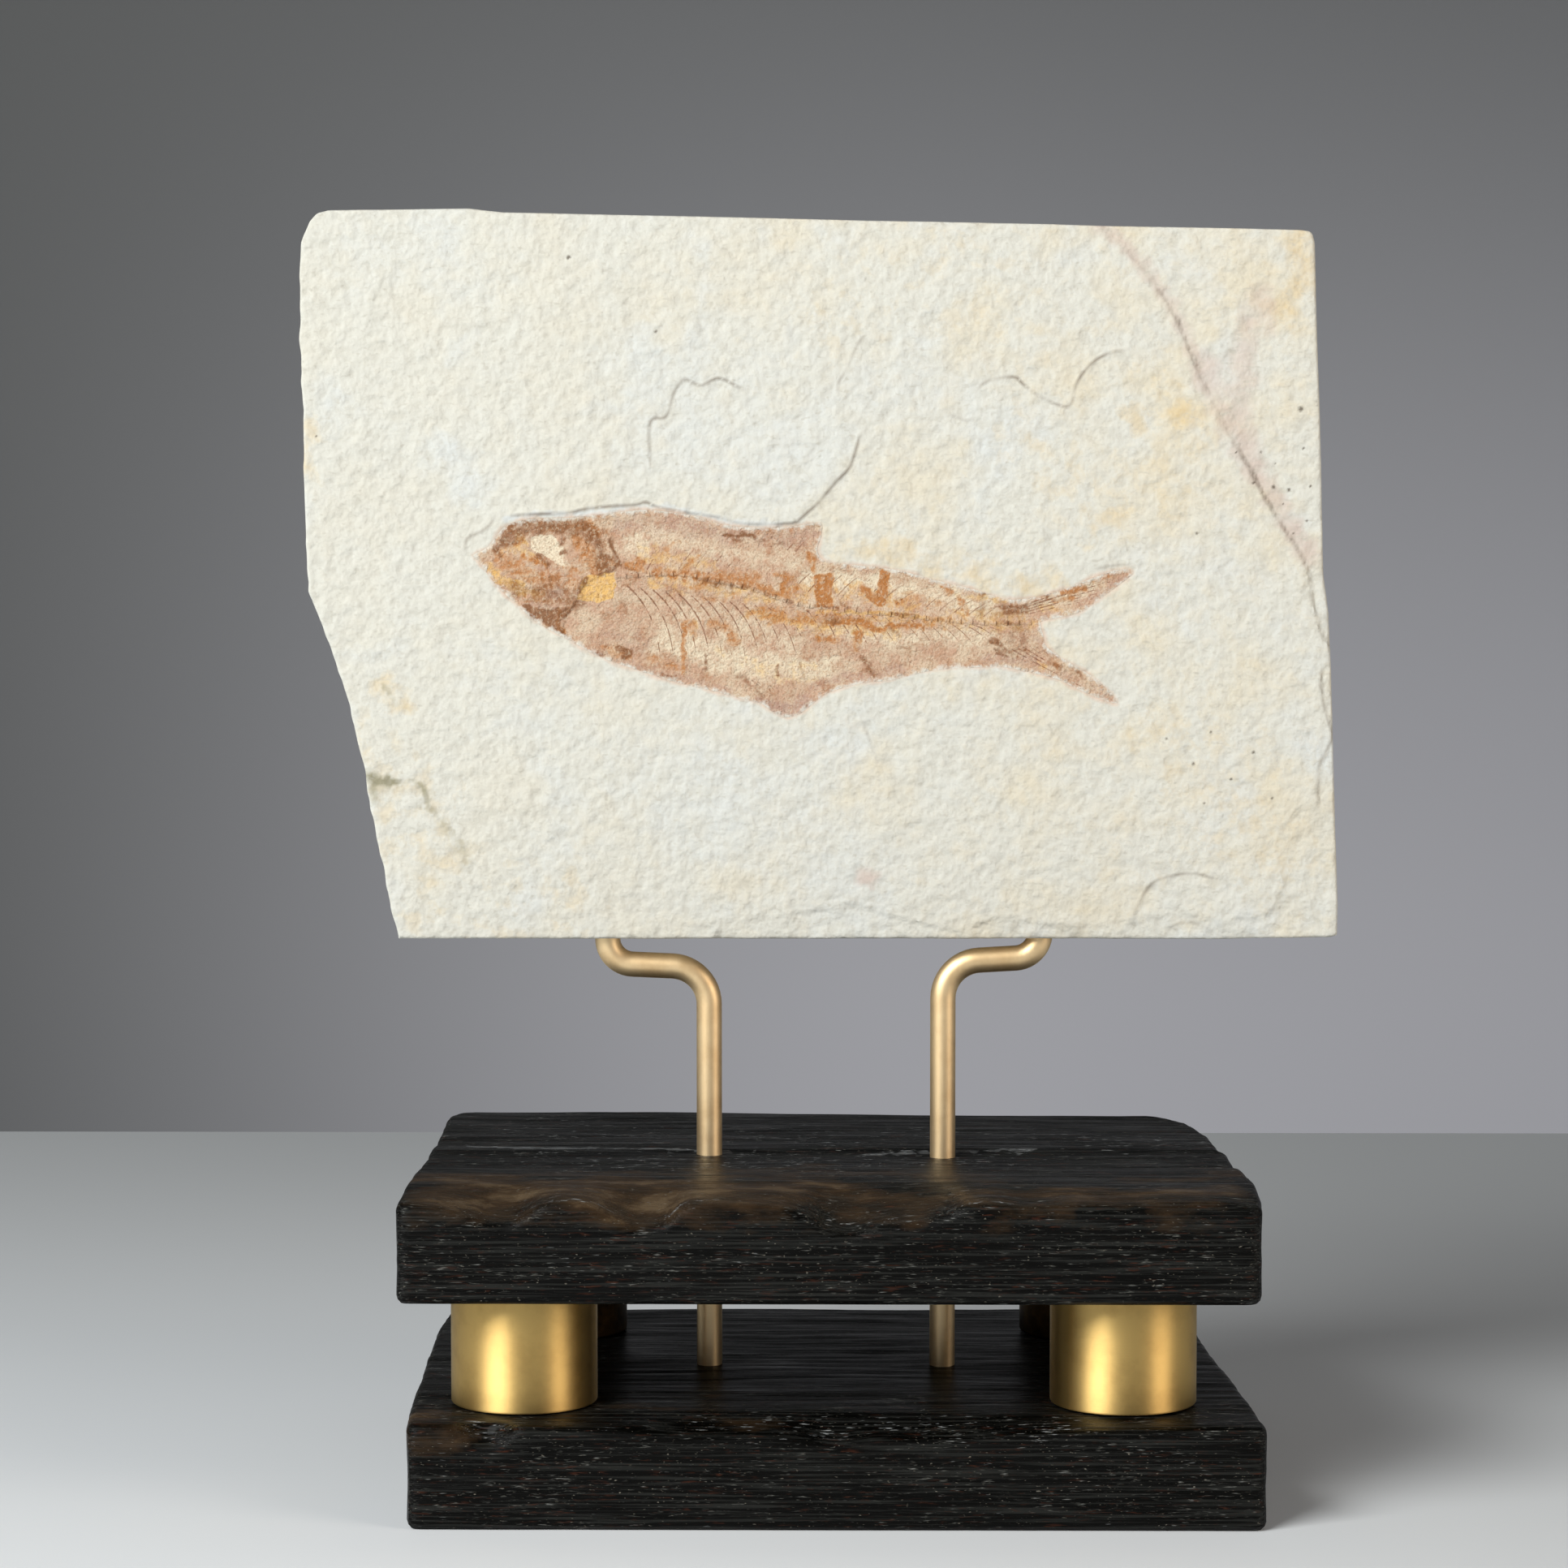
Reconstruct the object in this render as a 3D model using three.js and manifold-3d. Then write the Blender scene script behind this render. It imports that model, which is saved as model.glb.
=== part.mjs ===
// A fossil fish in a slab of limestone, shown on a stand: two bent brass rods hold the slab
// above two dark wooden blocks, which four brass spacers keep apart.
// Millimetres, +Z up. The stand rests on Z = 0 and the fish looks along -Y.

import * as THREE from 'three';
import { mergeVertices } from 'three/addons/utils/BufferGeometryUtils.js';
import Module from 'manifold-3d';

const wasm = await Module();
wasm.setup();

// Clearance between a piece and the hollow that takes it, and how far a cutter reaches out.
const FIT = 0.3;
const OVERCUT = 4;

// The slab. foot is the height of its lower edge above the table. Its outlines are
// [x, height above the foot], and depths are measured in from its front face.
const SLAB = { thickness: 10, foot: 94.5, bevel: 0.6, width: 186, height: 130, faceCell: 6.1, backCell: 13 };
const ROUGHNESS = { least: 0.15, most: 0.65, acrossWave: 15, upWave: 13 };
const LEDGE = { drop: 1.0, fadeWidth: 24, farShare: 0.25 };
const CHIPPED_EDGE_DROP = 0.9;

const SLAB_OUTLINE = [
  // sawn lower edge, and the right-hand edge with its slight bow
  [-75.0, 0], [69.0, 0], [89.3, 0.3], [90.7, 1.0], [90.6, 6], [89.8, 26.6], [89.1, 47.1],
  [88.6, 57.4], [87.6, 64.2], [87.1, 81.2], [86.2, 104.9], [85.6, 122.0], [85.2, 123.6], [84.2, 124.1],
  // sawn top, with a small step near its left end, and the clipped corner
  [-55.9, 127.3], [-62.0, 128.0], [-86.5, 127.7], [-88.5, 127.2], [-89.8, 125.8], [-90.8, 123.6], [-91.4, 121.9],
  // broken left edge, with a nick and a slanting lower half
  [-91.7, 116.2], [-91.6, 108.4], [-91.9, 105.0], [-91.5, 101.6], [-91.3, 91.4], [-90.8, 65.3], [-90.4, 61.0],
  [-88.9, 57.2], [-86.3, 50.7], [-85.2, 47.1], [-83.4, 41.5], [-82.5, 36.8], [-80.8, 30.0], [-79.2, 20.0],
  [-78.6, 16.2], [-77.6, 12.8], [-77.3, 9.0], [-75.5, 2.4],
];

// The line of the ledge that crosses the upper right corner, from the top edge down.
const LEDGE_LINE = [
  [47.3, 126.3], [50.0, 122.5], [53.0, 120.1], [56.1, 116.7], [59.2, 112.1], [62.7, 105.5], [66.7, 96.2],
  [71.6, 87.0], [77.2, 77.2], [83.2, 68.0], [84.7, 64.5], [86.7, 54.5], [89.3, 50.3],
];

// Where thin flakes have come off along the right and lower edges.
const CHIP_LINE = [
  [87.3, 48.4], [87.1, 44.7], [89.3, 35.5], [86.9, 30.5], [87.0, 23.6], [83.1, 23.0], [79.5, 17.4],
  [81.0, 9.0], [77.9, 4.3], [69.3, 3.2], [63.6, 4.7], [57.9, 3.7], [47.9, 2.8], [39.3, 2.5], [30.8, 4.2],
  [23.6, 1.6], [10.7, 4.6], [5.0, 6.5], [-7.8, 4.2], [-16.4, 3.2], [-19.3, 0.6],
];

// The fish lies in a shallow pocket in the face. Depths are again below the slab's face.
const FISH = { pocket: 1.7, rim: 0.8, crown: 0.5, cell: 4 };
const FISH_OUTLINE = [
  // lower jaw tip, snout and back as far as the dorsal fin
  [-61.5, 67.6], [-59.0, 68.9], [-57.6, 70.6], [-55.5, 72.9], [-51.2, 73.9], [-44.8, 74.1], [-34.8, 75.2],
  [-30.6, 75.5], [-22.0, 74.3], [-16.4, 72.7], [-7.8, 72.4],
  // dorsal fin, and the back behind it
  [-2.1, 73.1], [-0.4, 72.7], [-1.0, 71.0], [-2.1, 69.3], [-1.0, 66.0], [1.4, 65.3], [12.1, 65.3],
  [19.2, 63.6], [26.3, 62.2], [31.3, 59.9], [34.8, 59.9],
  // upper tail lobe, fork and lower tail lobe
  [40.5, 61.1], [46.2, 63.2], [51.1, 65.0], [54.3, 64.8], [52.6, 63.1], [47.6, 59.4], [44.8, 57.5], [39.1, 56.2],
  [38.0, 55.7], [38.6, 53.2], [39.1, 51.5], [42.7, 49.0], [47.0, 46.4], [50.3, 43.6], [51.4, 42.3], [51.1, 41.6],
  [47.0, 43.0], [43.4, 44.7], [40.6, 46.0], [34.9, 47.3],
  // belly, with the pelvic fin, and the lower jaw
  [30.6, 48.0], [19.2, 47.4], [12.1, 45.7], [6.4, 45.1], [0.7, 43.4], [-2.8, 40.8], [-4.3, 39.7], [-6.4, 39.1],
  [-8.5, 39.7], [-10.7, 41.4], [-12.8, 42.0], [-19.2, 43.7], [-26.4, 45.4], [-33.5, 47.7], [-39.2, 49.7],
  [-44.9, 52.8], [-50.6, 55.9], [-53.4, 58.5], [-57.4, 62.2], [-60.5, 66.4],
];
const HEAD = { x: -48.4, y: 64.5, radius: 10.5, rise: 0.25 };
const EYE = { x: -48.4, y: 68.4, radius: 3.2, dip: 0.45 };
const BACKBONE = [[-35.6, 63.8], [-26.3, 64.3], [-12.1, 61.8], [-5.0, 59.2], [12.1, 57.2], [26.3, 55.8], [36.8, 55.6]];
const BONE = { height: 0.5, width: 1.2, sink: 0.09 };
const VERTEBRAE = 22;

// The stand's rods. foot and tip are the ends of each rod; run is the height of its level part.
const ROD = { radius: 2.25, foot: 10.5, tip: 105.5, lowerBend: 6.8, upperBend: 4.6, sides: 12, bendSteps: 5 };
const RODS = { left: { x: -20.3, tipX: -38.3, run: 89.3 }, right: { x: 21.2, tipX: 38.4, run: 90.4 } };

// The spacers between the blocks.
const SPACER = { radius: 12.5, height: 20, chamfer: 0.5, sides: 24 };
const SPACERS = {
  spacer_front_left: [-51.2, -31.3],
  spacer_front_right: [51.2, -31.3],
  spacer_rear_left: [-49, 31.3],
  spacer_rear_right: [49, 31.3],
};

// The blocks. Plans are [x, y], and scoops are worn into the front edge of the upper block.
const BLOCK = { thickness: 18, edge: 1.2, front: -51, cellX: 5, cellY: 9, width: 152, depth: 106 };
const SEAT_DEPTH = 0.3;
const LOWER_COARSENESS = 1.6;
const UPPER_FOOT = BLOCK.thickness + SPACER.height;
const UPPER_TOP = UPPER_FOOT + BLOCK.thickness;
const UPPER_PLAN = [
  [-70.3, -51], [71.2, -51], [72.5, -49.5], [73.8, -30], [73.1, -14], [72.0, -12], [72.1, 2], [71.0, 4],
  [70.6, 22], [68.2, 38], [65.5, 43.5], [61.0, 46], [-66.0, 50.5], [-69.5, 49], [-71.0, 45.5], [-70.2, 12],
  [-71.0, -30], [-71.3, -49.8],
];
const LOWER_PLAN = [
  [-68.8, -51], [73.0, -51], [74.0, -49.8], [72.6, -24], [70.8, 3], [69.8, 22], [68.8, 44], [66.5, 50], [63.0, 51],
  [-67.5, 51], [-71.2, 48.5], [-71.8, 30], [-71.2, 0], [-70.6, -30], [-69.6, -50],
];
const SCOOPS = [
  { x: -53.5, depth: 3.6, halfWidth: 5.0 }, { x: -30.0, depth: 4.4, halfWidth: 5.5 },
  { x: 4.2, depth: 5.4, halfWidth: 6.2 }, { x: 14.5, depth: 3.4, halfWidth: 5.5 },
  { x: 34.0, depth: 1.0, halfWidth: 6.0 },
];
const SCOOP_REACH = 17;
const TOP_WAVE = { depth: 0.7, crest: 18, halfLength: 30 };
const FRONT_SAG = { x: 8, depth: 1.9, halfWidth: 40, reach: 14 };
const CORNER_CHIP = { x: -56.5, y: -51.5, z: 17.4, radius: 4.6 };

const limestone = new THREE.MeshStandardMaterial({ color: 0xebe5d6, roughness: 0.92, metalness: 0 });
const fossilBone = new THREE.MeshStandardMaterial({ color: 0xb88a66, roughness: 0.8, metalness: 0 });
const satinBrass = new THREE.MeshStandardMaterial({ color: 0xb8934f, roughness: 0.35, metalness: 1 });
const ebonisedWood = new THREE.MeshStandardMaterial({ color: 0x1c1a18, roughness: 0.45, metalness: 0 });

// A closed three.js geometry as a solid that can be joined and cut, and back again.
function toSolid(geometry) {
  const bare = geometry.clone();
  bare.deleteAttribute('normal');
  bare.deleteAttribute('uv');
  const merged = mergeVertices(bare, 1e-4);
  return new wasm.Manifold(new wasm.Mesh({
    numProp: 3,
    vertProperties: merged.attributes.position.array,
    triVerts: merged.index.array,
  }));
}

function toGeometry(solid) {
  const mesh = solid.getMesh();
  const geometry = new THREE.BufferGeometry();
  geometry.setAttribute('position', new THREE.BufferAttribute(mesh.vertProperties, 3));
  geometry.setIndex(new THREE.BufferAttribute(mesh.triVerts, 1));
  geometry.computeVertexNormals();
  return geometry;
}

function piece(name, geometry, material) {
  const mesh = new THREE.Mesh(geometry, material);
  mesh.name = name;
  return mesh;
}

// An outline pulled up along Z from one level to another, with bevelled edges if asked for.
function panel(outline, from, to, bevel = 0) {
  const shape = new THREE.Shape(outline.map(([x, y]) => new THREE.Vector2(x, y)));
  const geometry = new THREE.ExtrudeGeometry(shape, {
    depth: to - from - 2 * bevel,
    bevelEnabled: bevel > 0,
    bevelThickness: bevel,
    bevelSize: bevel,
    bevelOffset: -bevel,
    bevelSegments: 1,
  });
  geometry.translate(0, 0, from + bevel);
  return toSolid(geometry);
}

// A cutter that takes a face at Z = 0 down to an uneven surface, depthAt(x, y) below it.
function wavyCutter({ centre, width, height, cellX, cellY, depthAt }) {
  const columns = Math.round(width / cellX);
  const rows = Math.round(height / cellY);
  const geometry = new THREE.BoxGeometry(width, height, 1, columns, rows, 1);
  geometry.translate(centre[0], centre[1], 0);
  const position = geometry.attributes.position;
  for (let i = 0; i < position.count; i += 1) {
    const level = position.getZ(i) > 0 ? OVERCUT : -depthAt(position.getX(i), position.getY(i));
    position.setZ(i, level);
  }
  return toSolid(geometry);
}

// An outline moved outwards by a distance; the outline runs clockwise or counter-clockwise.
function grown(outline, distance) {
  const turn = THREE.ShapeUtils.isClockWise(outline.map(([x, y]) => new THREE.Vector2(x, y))) ? -1 : 1;
  return outline.map(([x, y], i) => {
    const before = outline[(i + outline.length - 1) % outline.length];
    const after = outline[(i + 1) % outline.length];
    const along = new THREE.Vector2(x - before[0], y - before[1]).normalize();
    const onward = new THREE.Vector2(after[0] - x, after[1] - y).normalize();
    const mean = along.clone().add(onward).normalize();
    const stretch = distance / Math.max(0.5, mean.dot(along));
    return [x + turn * mean.y * stretch, y - turn * mean.x * stretch];
  });
}

function smoothstep(low, high, value) {
  return THREE.MathUtils.smoothstep(value, low, high);
}

function bell(offset, halfWidth) {
  return Math.exp(-((offset / halfWidth) ** 2));
}

// The hammered surface that splitting and scraping left on the stone.
function stoneRelief(x, y) {
  const across = Math.sin((2 * Math.PI * x) / ROUGHNESS.acrossWave + 1.7 * Math.sin(0.23 * y));
  const up = Math.sin((2 * Math.PI * y) / ROUGHNESS.upWave + 1.5 * Math.sin(0.19 * x + 1));
  const share = 0.5 + 0.25 * (across + up);
  return THREE.MathUtils.lerp(ROUGHNESS.least, ROUGHNESS.most, share);
}

// The ledge is deepest along its line, and its floor rises towards the far corner.
function ledgeDepth(x, y) {
  const [top, bottom] = [LEDGE_LINE[0], LEDGE_LINE[LEDGE_LINE.length - 1]];
  const line = new THREE.Vector2(bottom[0] - top[0], bottom[1] - top[1]).normalize();
  const beyond = (y - top[1]) * line.x - (x - top[0]) * line.y;
  const share = 1 - (1 - LEDGE.farShare) * smoothstep(0, LEDGE.fadeWidth, beyond);
  return LEDGE.drop * share;
}

function faceCutter(extraDepth, cell = SLAB.faceCell) {
  return wavyCutter({
    centre: [0, SLAB.height / 2 - 1],
    width: SLAB.width,
    height: SLAB.height,
    cellX: cell,
    cellY: cell,
    depthAt: (x, y) => stoneRelief(x, y) + extraDepth(x, y),
  });
}

// A part of the face, closed off past the slab's edges, cut deeper than the rest.
function sunkPart(outline, depthAt) {
  return panel(outline, -OVERCUT, OVERCUT).intersect(faceCutter(depthAt));
}

// A vertical round hole, in the block's own frame, open at both levels.
function roundHole(x, y, from, to, radius, sides = ROD.sides) {
  const geometry = new THREE.CylinderGeometry(radius, radius, to - from, sides);
  geometry.rotateX(Math.PI / 2);
  geometry.translate(x, y, (from + to) / 2);
  return toSolid(geometry);
}

// The slab is built in its face's frame: x to the right, y up from its foot, z out of the face.
function slab() {
  const right = SLAB.width / 2 + OVERCUT;
  const above = SLAB.height + OVERCUT;
  const ledge = [...LEDGE_LINE, [right, 50], [right, above], [47, above]];
  const chipped = [[right, 49], ...CHIP_LINE, [-19.3, -OVERCUT], [right, -OVERCUT]];
  const back = toSolid(toGeometry(faceCutter(() => 0, SLAB.backCell)).rotateY(Math.PI).translate(0, 0, -SLAB.thickness));
  let solid = panel(SLAB_OUTLINE, -SLAB.thickness, 0, SLAB.bevel)
    .subtract(faceCutter(() => 0))
    .subtract(back)
    .subtract(sunkPart(ledge, ledgeDepth))
    .subtract(sunkPart(chipped, () => CHIPPED_EDGE_DROP))
    .subtract(panel(grown(FISH_OUTLINE, FIT), -FISH.pocket, OVERCUT));
  for (const { tipX } of Object.values(RODS)) {
    const depth = ROD.tip + FIT - SLAB.foot;
    const hole = toGeometry(roundHole(0, 0, -OVERCUT, depth, ROD.radius + FIT));
    hole.rotateX(-Math.PI / 2).translate(tipX, 0, -SLAB.thickness / 2);
    solid = solid.subtract(toSolid(hole));
  }
  return toGeometry(solid);
}

// A long narrow bone, tapering to a point at both ends, lying on the fish.
function bone([startX, startY], [endX, endY], width = BONE.width) {
  const geometry = new THREE.OctahedronGeometry(1);
  geometry.scale(Math.hypot(endX - startX, endY - startY) / 2, width / 2, BONE.height);
  geometry.rotateZ(Math.atan2(endY - startY, endX - startX));
  const [middleX, middleY] = [(startX + endX) / 2, (startY + endY) / 2];
  geometry.translate(middleX, middleY, -fishDepth(middleX, middleY) - BONE.sink);
  return toSolid(geometry);
}

// count bones, each starting on the line from a to b and reaching out by a vector that
// shrinks or grows from the first bone to the last.
function boneRow(count, a, b, firstReach, lastReach, width) {
  return Array.from({ length: count }, (_, i) => {
    const t = i / (count - 1);
    const start = [THREE.MathUtils.lerp(a[0], b[0], t), THREE.MathUtils.lerp(a[1], b[1], t)];
    const reach = firstReach.map((value, k) => THREE.MathUtils.lerp(value, lastReach[k], t));
    return bone(start, [start[0] + reach[0], start[1] + reach[1]], width);
  });
}

function skeleton() {
  const backbone = new THREE.CatmullRomCurve3(BACKBONE.map(([x, y]) => new THREE.Vector3(x, y, 0)));
  const joints = backbone.getSpacedPoints(VERTEBRAE);
  const vertebrae = joints.slice(1).map((end, i) => bone([joints[i].x - 0.3, joints[i].y], [end.x + 0.3, end.y], 2));
  return [
    ...vertebrae,
    // ribs, then the spines below and above the backbone
    ...boneRow(9, [-33, 61.5], [-4, 57.5], [5.5, -10.5], [5, -8.5]),
    ...boneRow(6, [3, 56.6], [28, 54.6], [4.5, -7.5], [4.5, -3]),
    ...boneRow(9, [-29, 65.2], [27, 57], [4.5, 6.5], [4.5, 2.4]),
    // rays of the dorsal fin, the pelvic fin and both tail lobes
    ...boneRow(4, [-14, 69.4], [-5, 68], [2.5, 2.6], [3.2, 4.4]),
    ...boneRow(2, [-12.5, 45], [-8, 43.5], [4.5, -4.4], [3, -3.4]),
    ...boneRow(3, [36.4, 58.6], [37, 56.8], [13, 5.4], [8, 2.2]),
    ...boneRow(3, [37, 53.6], [36.4, 49], [10, -6.6], [12, -5.6]),
  ];
}

// The fish is low relief: a skin that is crowned along its middle, with a raised skull, a
// sunken eye and the bones standing on it.
function fishDepth(x, y) {
  const fromMiddle = Math.abs(y - 60) / 14;
  const skin = THREE.MathUtils.lerp(FISH.crown, FISH.rim, smoothstep(0.2, 1, fromMiddle));
  const head = HEAD.rise * bell(Math.hypot(x - HEAD.x, y - HEAD.y), HEAD.radius);
  const eye = EYE.dip * bell(Math.hypot(x - EYE.x, y - EYE.y), EYE.radius);
  return skin - head + eye;
}

function fish() {
  const skin = panel(FISH_OUTLINE, FIT - FISH.pocket, 0).subtract(wavyCutter({
    centre: [-3.5, 57.5],
    width: 124,
    height: 42,
    cellX: FISH.cell,
    cellY: FISH.cell,
    depthAt: fishDepth,
  }));
  const bones = skeleton().reduce((joined, next) => joined.add(next));
  const within = panel(grown(FISH_OUTLINE, -0.1), FIT - FISH.pocket, 0);
  return toGeometry(skin.add(bones.intersect(within)));
}

// The middle line of a rod as rings: where each one is, and how far the rod leans outwards.
function rodRings({ x, tipX, run }) {
  const outwards = Math.sign(tipX);
  const rings = [{ x, z: ROD.foot, lean: 0 }];
  const quarter = Math.PI / 2;
  for (let i = 0; i <= ROD.bendSteps; i += 1) {
    const lean = (quarter * i) / ROD.bendSteps;
    rings.push({
      x: x + outwards * ROD.lowerBend * (1 - Math.cos(lean)),
      z: run - ROD.lowerBend * (1 - Math.sin(lean)),
      lean,
    });
  }
  for (let i = ROD.bendSteps; i >= 0; i -= 1) {
    const lean = (quarter * i) / ROD.bendSteps;
    rings.push({
      x: tipX - outwards * ROD.upperBend * (1 - Math.cos(lean)),
      z: run + ROD.upperBend * (1 - Math.sin(lean)),
      lean,
    });
  }
  rings.push({ x: tipX, z: ROD.tip, lean: 0 });
  return rings.map((ring) => ({ ...ring, lean: outwards * ring.lean }));
}

// A cylinder with one ring of points for each ring of the middle line, moved onto it.
function rod(line) {
  const rings = rodRings(line);
  const last = rings.length - 1;
  const geometry = new THREE.CylinderGeometry(ROD.radius, ROD.radius, last, ROD.sides, last);
  const position = geometry.attributes.position;
  for (let i = 0; i < position.count; i += 1) {
    const ring = rings[Math.round(position.getY(i) + last / 2)];
    const side = position.getX(i);
    position.setXYZ(
      i,
      ring.x + side * Math.cos(ring.lean),
      -position.getZ(i),
      ring.z - side * Math.sin(ring.lean),
    );
  }
  geometry.computeVertexNormals();
  return geometry;
}

function spacer() {
  const { radius, height, chamfer, sides } = SPACER;
  const profile = [
    [0, 0], [radius - chamfer, 0], [radius, chamfer], [radius, height - chamfer], [radius - chamfer, height], [0, height],
  ];
  const geometry = new THREE.LatheGeometry(profile.map(([r, z]) => new THREE.Vector2(r, z)), sides);
  return geometry.rotateX(Math.PI / 2);
}

// How far the top of each block lies below its highest level.
function upperTopDepth(x, y) {
  const reach = 1 - smoothstep(0, SCOOP_REACH, y - BLOCK.front);
  const scooped = SCOOPS.reduce((sum, scoop) => sum + scoop.depth * bell(x - scoop.x, scoop.halfWidth), 0);
  const hollow = 1 - bell(y - TOP_WAVE.crest, TOP_WAVE.halfLength / 2);
  const ripple = 0.5 + 0.5 * Math.sin(0.07 * x + 0.11 * y);
  return 0.1 + TOP_WAVE.depth * hollow * ripple + scooped * reach;
}

function lowerTopDepth(x, y) {
  const reach = 1 - smoothstep(0, FRONT_SAG.reach, y - BLOCK.front);
  const sag = FRONT_SAG.depth * bell(x - FRONT_SAG.x, FRONT_SAG.halfWidth) * reach;
  return sag + 0.15 + 0.15 * Math.sin(0.09 * x + 0.13 * y);
}

function block(plan, foot, topDepth, coarseness = 1) {
  const cutter = wavyCutter({
    centre: [0, 0],
    width: BLOCK.width,
    height: BLOCK.depth,
    cellX: BLOCK.cellX * coarseness,
    cellY: BLOCK.cellY * coarseness,
    depthAt: topDepth,
  });
  return panel(plan, foot, foot + BLOCK.thickness, BLOCK.edge)
    .subtract(cutter.translate(0, 0, foot + BLOCK.thickness));
}

// Each block is bored for the rods and has a round seat, slightly sunk, for each spacer.
function bored(solid, rodFoot, seatFrom, seatTo) {
  let result = solid;
  for (const { x } of Object.values(RODS)) {
    result = result.subtract(roundHole(x, 0, rodFoot, UPPER_TOP + OVERCUT, ROD.radius + FIT));
  }
  for (const [x, y] of Object.values(SPACERS)) {
    result = result.subtract(roundHole(x, y, seatFrom, seatTo, SPACER.radius + FIT, SPACER.sides));
  }
  return result;
}

function upperBlock() {
  const solid = block(UPPER_PLAN, UPPER_FOOT, upperTopDepth);
  return toGeometry(bored(solid, UPPER_FOOT - OVERCUT, UPPER_FOOT - OVERCUT, UPPER_FOOT + SEAT_DEPTH));
}

function lowerBlock() {
  const chip = new THREE.OctahedronGeometry(CORNER_CHIP.radius);
  chip.scale(1.3, 0.8, 0.8).translate(CORNER_CHIP.x, CORNER_CHIP.y, CORNER_CHIP.z);
  const solid = block(LOWER_PLAN, 0, lowerTopDepth, LOWER_COARSENESS).subtract(toSolid(chip));
  return toGeometry(bored(solid, ROD.foot - FIT, BLOCK.thickness - SEAT_DEPTH, BLOCK.thickness + OVERCUT));
}

const object = new THREE.Group();

const slabAndFish = new THREE.Group();
slabAndFish.rotation.x = Math.PI / 2;
slabAndFish.position.set(0, -SLAB.thickness / 2, SLAB.foot);
slabAndFish.add(piece('fossil_slab', slab(), limestone));
slabAndFish.add(piece('fossil_fish', fish(), fossilBone));
object.add(slabAndFish);

object.add(piece('rod_left', rod(RODS.left), satinBrass));
object.add(piece('rod_right', rod(RODS.right), satinBrass));
object.add(piece('upper_block', upperBlock(), ebonisedWood));
object.add(piece('lower_block', lowerBlock(), ebonisedWood));

for (const [name, [x, y]] of Object.entries(SPACERS)) {
  const cylinder = piece(name, spacer(), satinBrass);
  cylinder.position.set(x, y, BLOCK.thickness);
  object.add(cylinder);
}

export default object;
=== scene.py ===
"""A fossil fish in a slab of pale limestone, on its stand.

Two bent brass rods hold the slab above two black wooden blocks, which four turned brass spacers
keep apart. Lengths below are millimetres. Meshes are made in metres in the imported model's frame,
so each piece lies where its node does.
"""

import logging
import math
from collections import deque
from dataclasses import dataclass, field
from enum import Enum
from typing import Callable, Mapping, Sequence

import bpy
import numpy as np
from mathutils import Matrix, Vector


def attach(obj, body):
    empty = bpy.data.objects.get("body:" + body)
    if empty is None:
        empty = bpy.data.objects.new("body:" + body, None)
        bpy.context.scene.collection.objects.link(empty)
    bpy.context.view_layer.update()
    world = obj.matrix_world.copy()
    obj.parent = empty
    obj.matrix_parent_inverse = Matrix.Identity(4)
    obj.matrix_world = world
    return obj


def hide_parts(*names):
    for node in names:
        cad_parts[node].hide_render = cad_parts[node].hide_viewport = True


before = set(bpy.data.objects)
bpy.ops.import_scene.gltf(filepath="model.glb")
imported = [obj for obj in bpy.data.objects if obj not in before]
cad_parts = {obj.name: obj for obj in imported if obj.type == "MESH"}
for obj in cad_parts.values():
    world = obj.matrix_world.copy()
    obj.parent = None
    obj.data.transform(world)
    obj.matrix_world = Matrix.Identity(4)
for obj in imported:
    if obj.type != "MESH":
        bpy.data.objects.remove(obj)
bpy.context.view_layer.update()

log = logging.getLogger("fossil_fish_slab")

MM = 0.001
BODY = "root"

Array = np.ndarray
Point = tuple[float, float]
Line = Sequence[Point]
Place = Callable[[Array, Array, Array], Array]
Socket = bpy.types.NodeSocket
Tree = bpy.types.NodeTree


class Slot(Enum):
    """The record's material slots."""

    LIMESTONE = "limestone"
    FOSSIL_BONE = "fossil_bone"
    BRASS_ROD = "brass_rod"
    SATIN_BRASS = "satin_brass"
    EBONISED_WOOD = "ebonised_wood"


class Tone(Enum):
    """What a marking on stone, fossil or wood is, some of them painted shade and highlights; the value names
    its attribute.
    """

    UMBER = "umber"
    RUST = "rust"
    OCHRE = "ochre"
    BARE = "bare"
    DUSK = "dusk"
    BONE = "bone"
    SAFFRON = "saffron"
    FROST = "frost"
    ROSE = "rose"
    STAIN = "stain"
    SOOT = "soot"
    RUB = "rub"


class BrassFinish(Enum):
    """A brass surface's colour, roughness, anisotropy, and brushing pitches along x, y and z."""

    DRAWN = ("#F3D8AA", 0.5, 0.0, (0.35, 0.35, 9.0))
    TURNED = ("#F0CD82", 0.54, 0.85, (9.0, 9.0, 0.2))
    # near-black brass for the rear spacers: painted shade, as they stand in the shadow under the upper block
    TARNISHED = ("#3E3220", 0.6, 0.0, (9.0, 9.0, 0.2))


@dataclass(frozen=True)
class Mark:
    """One marking: a stroke along a line, or a patch inside a closed one."""

    tone: Tone
    line: Line
    width: float
    strength: float
    closed: bool


def strokes(tone: Tone, rows: Sequence[tuple], closed: bool = False) -> list[Mark]:
    """Makes one tone's markings, each row giving a width, a strength and the points of the line."""
    return [Mark(tone, points, width, strength, closed) for width, strength, *points in rows]


@dataclass(frozen=True)
class Flake:
    """The edge of a thin flake: its line, how far the stone drops on its left, and how dark the painted
    shadow line along it is.
    """

    line: Line
    drop: float
    ink: float


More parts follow.
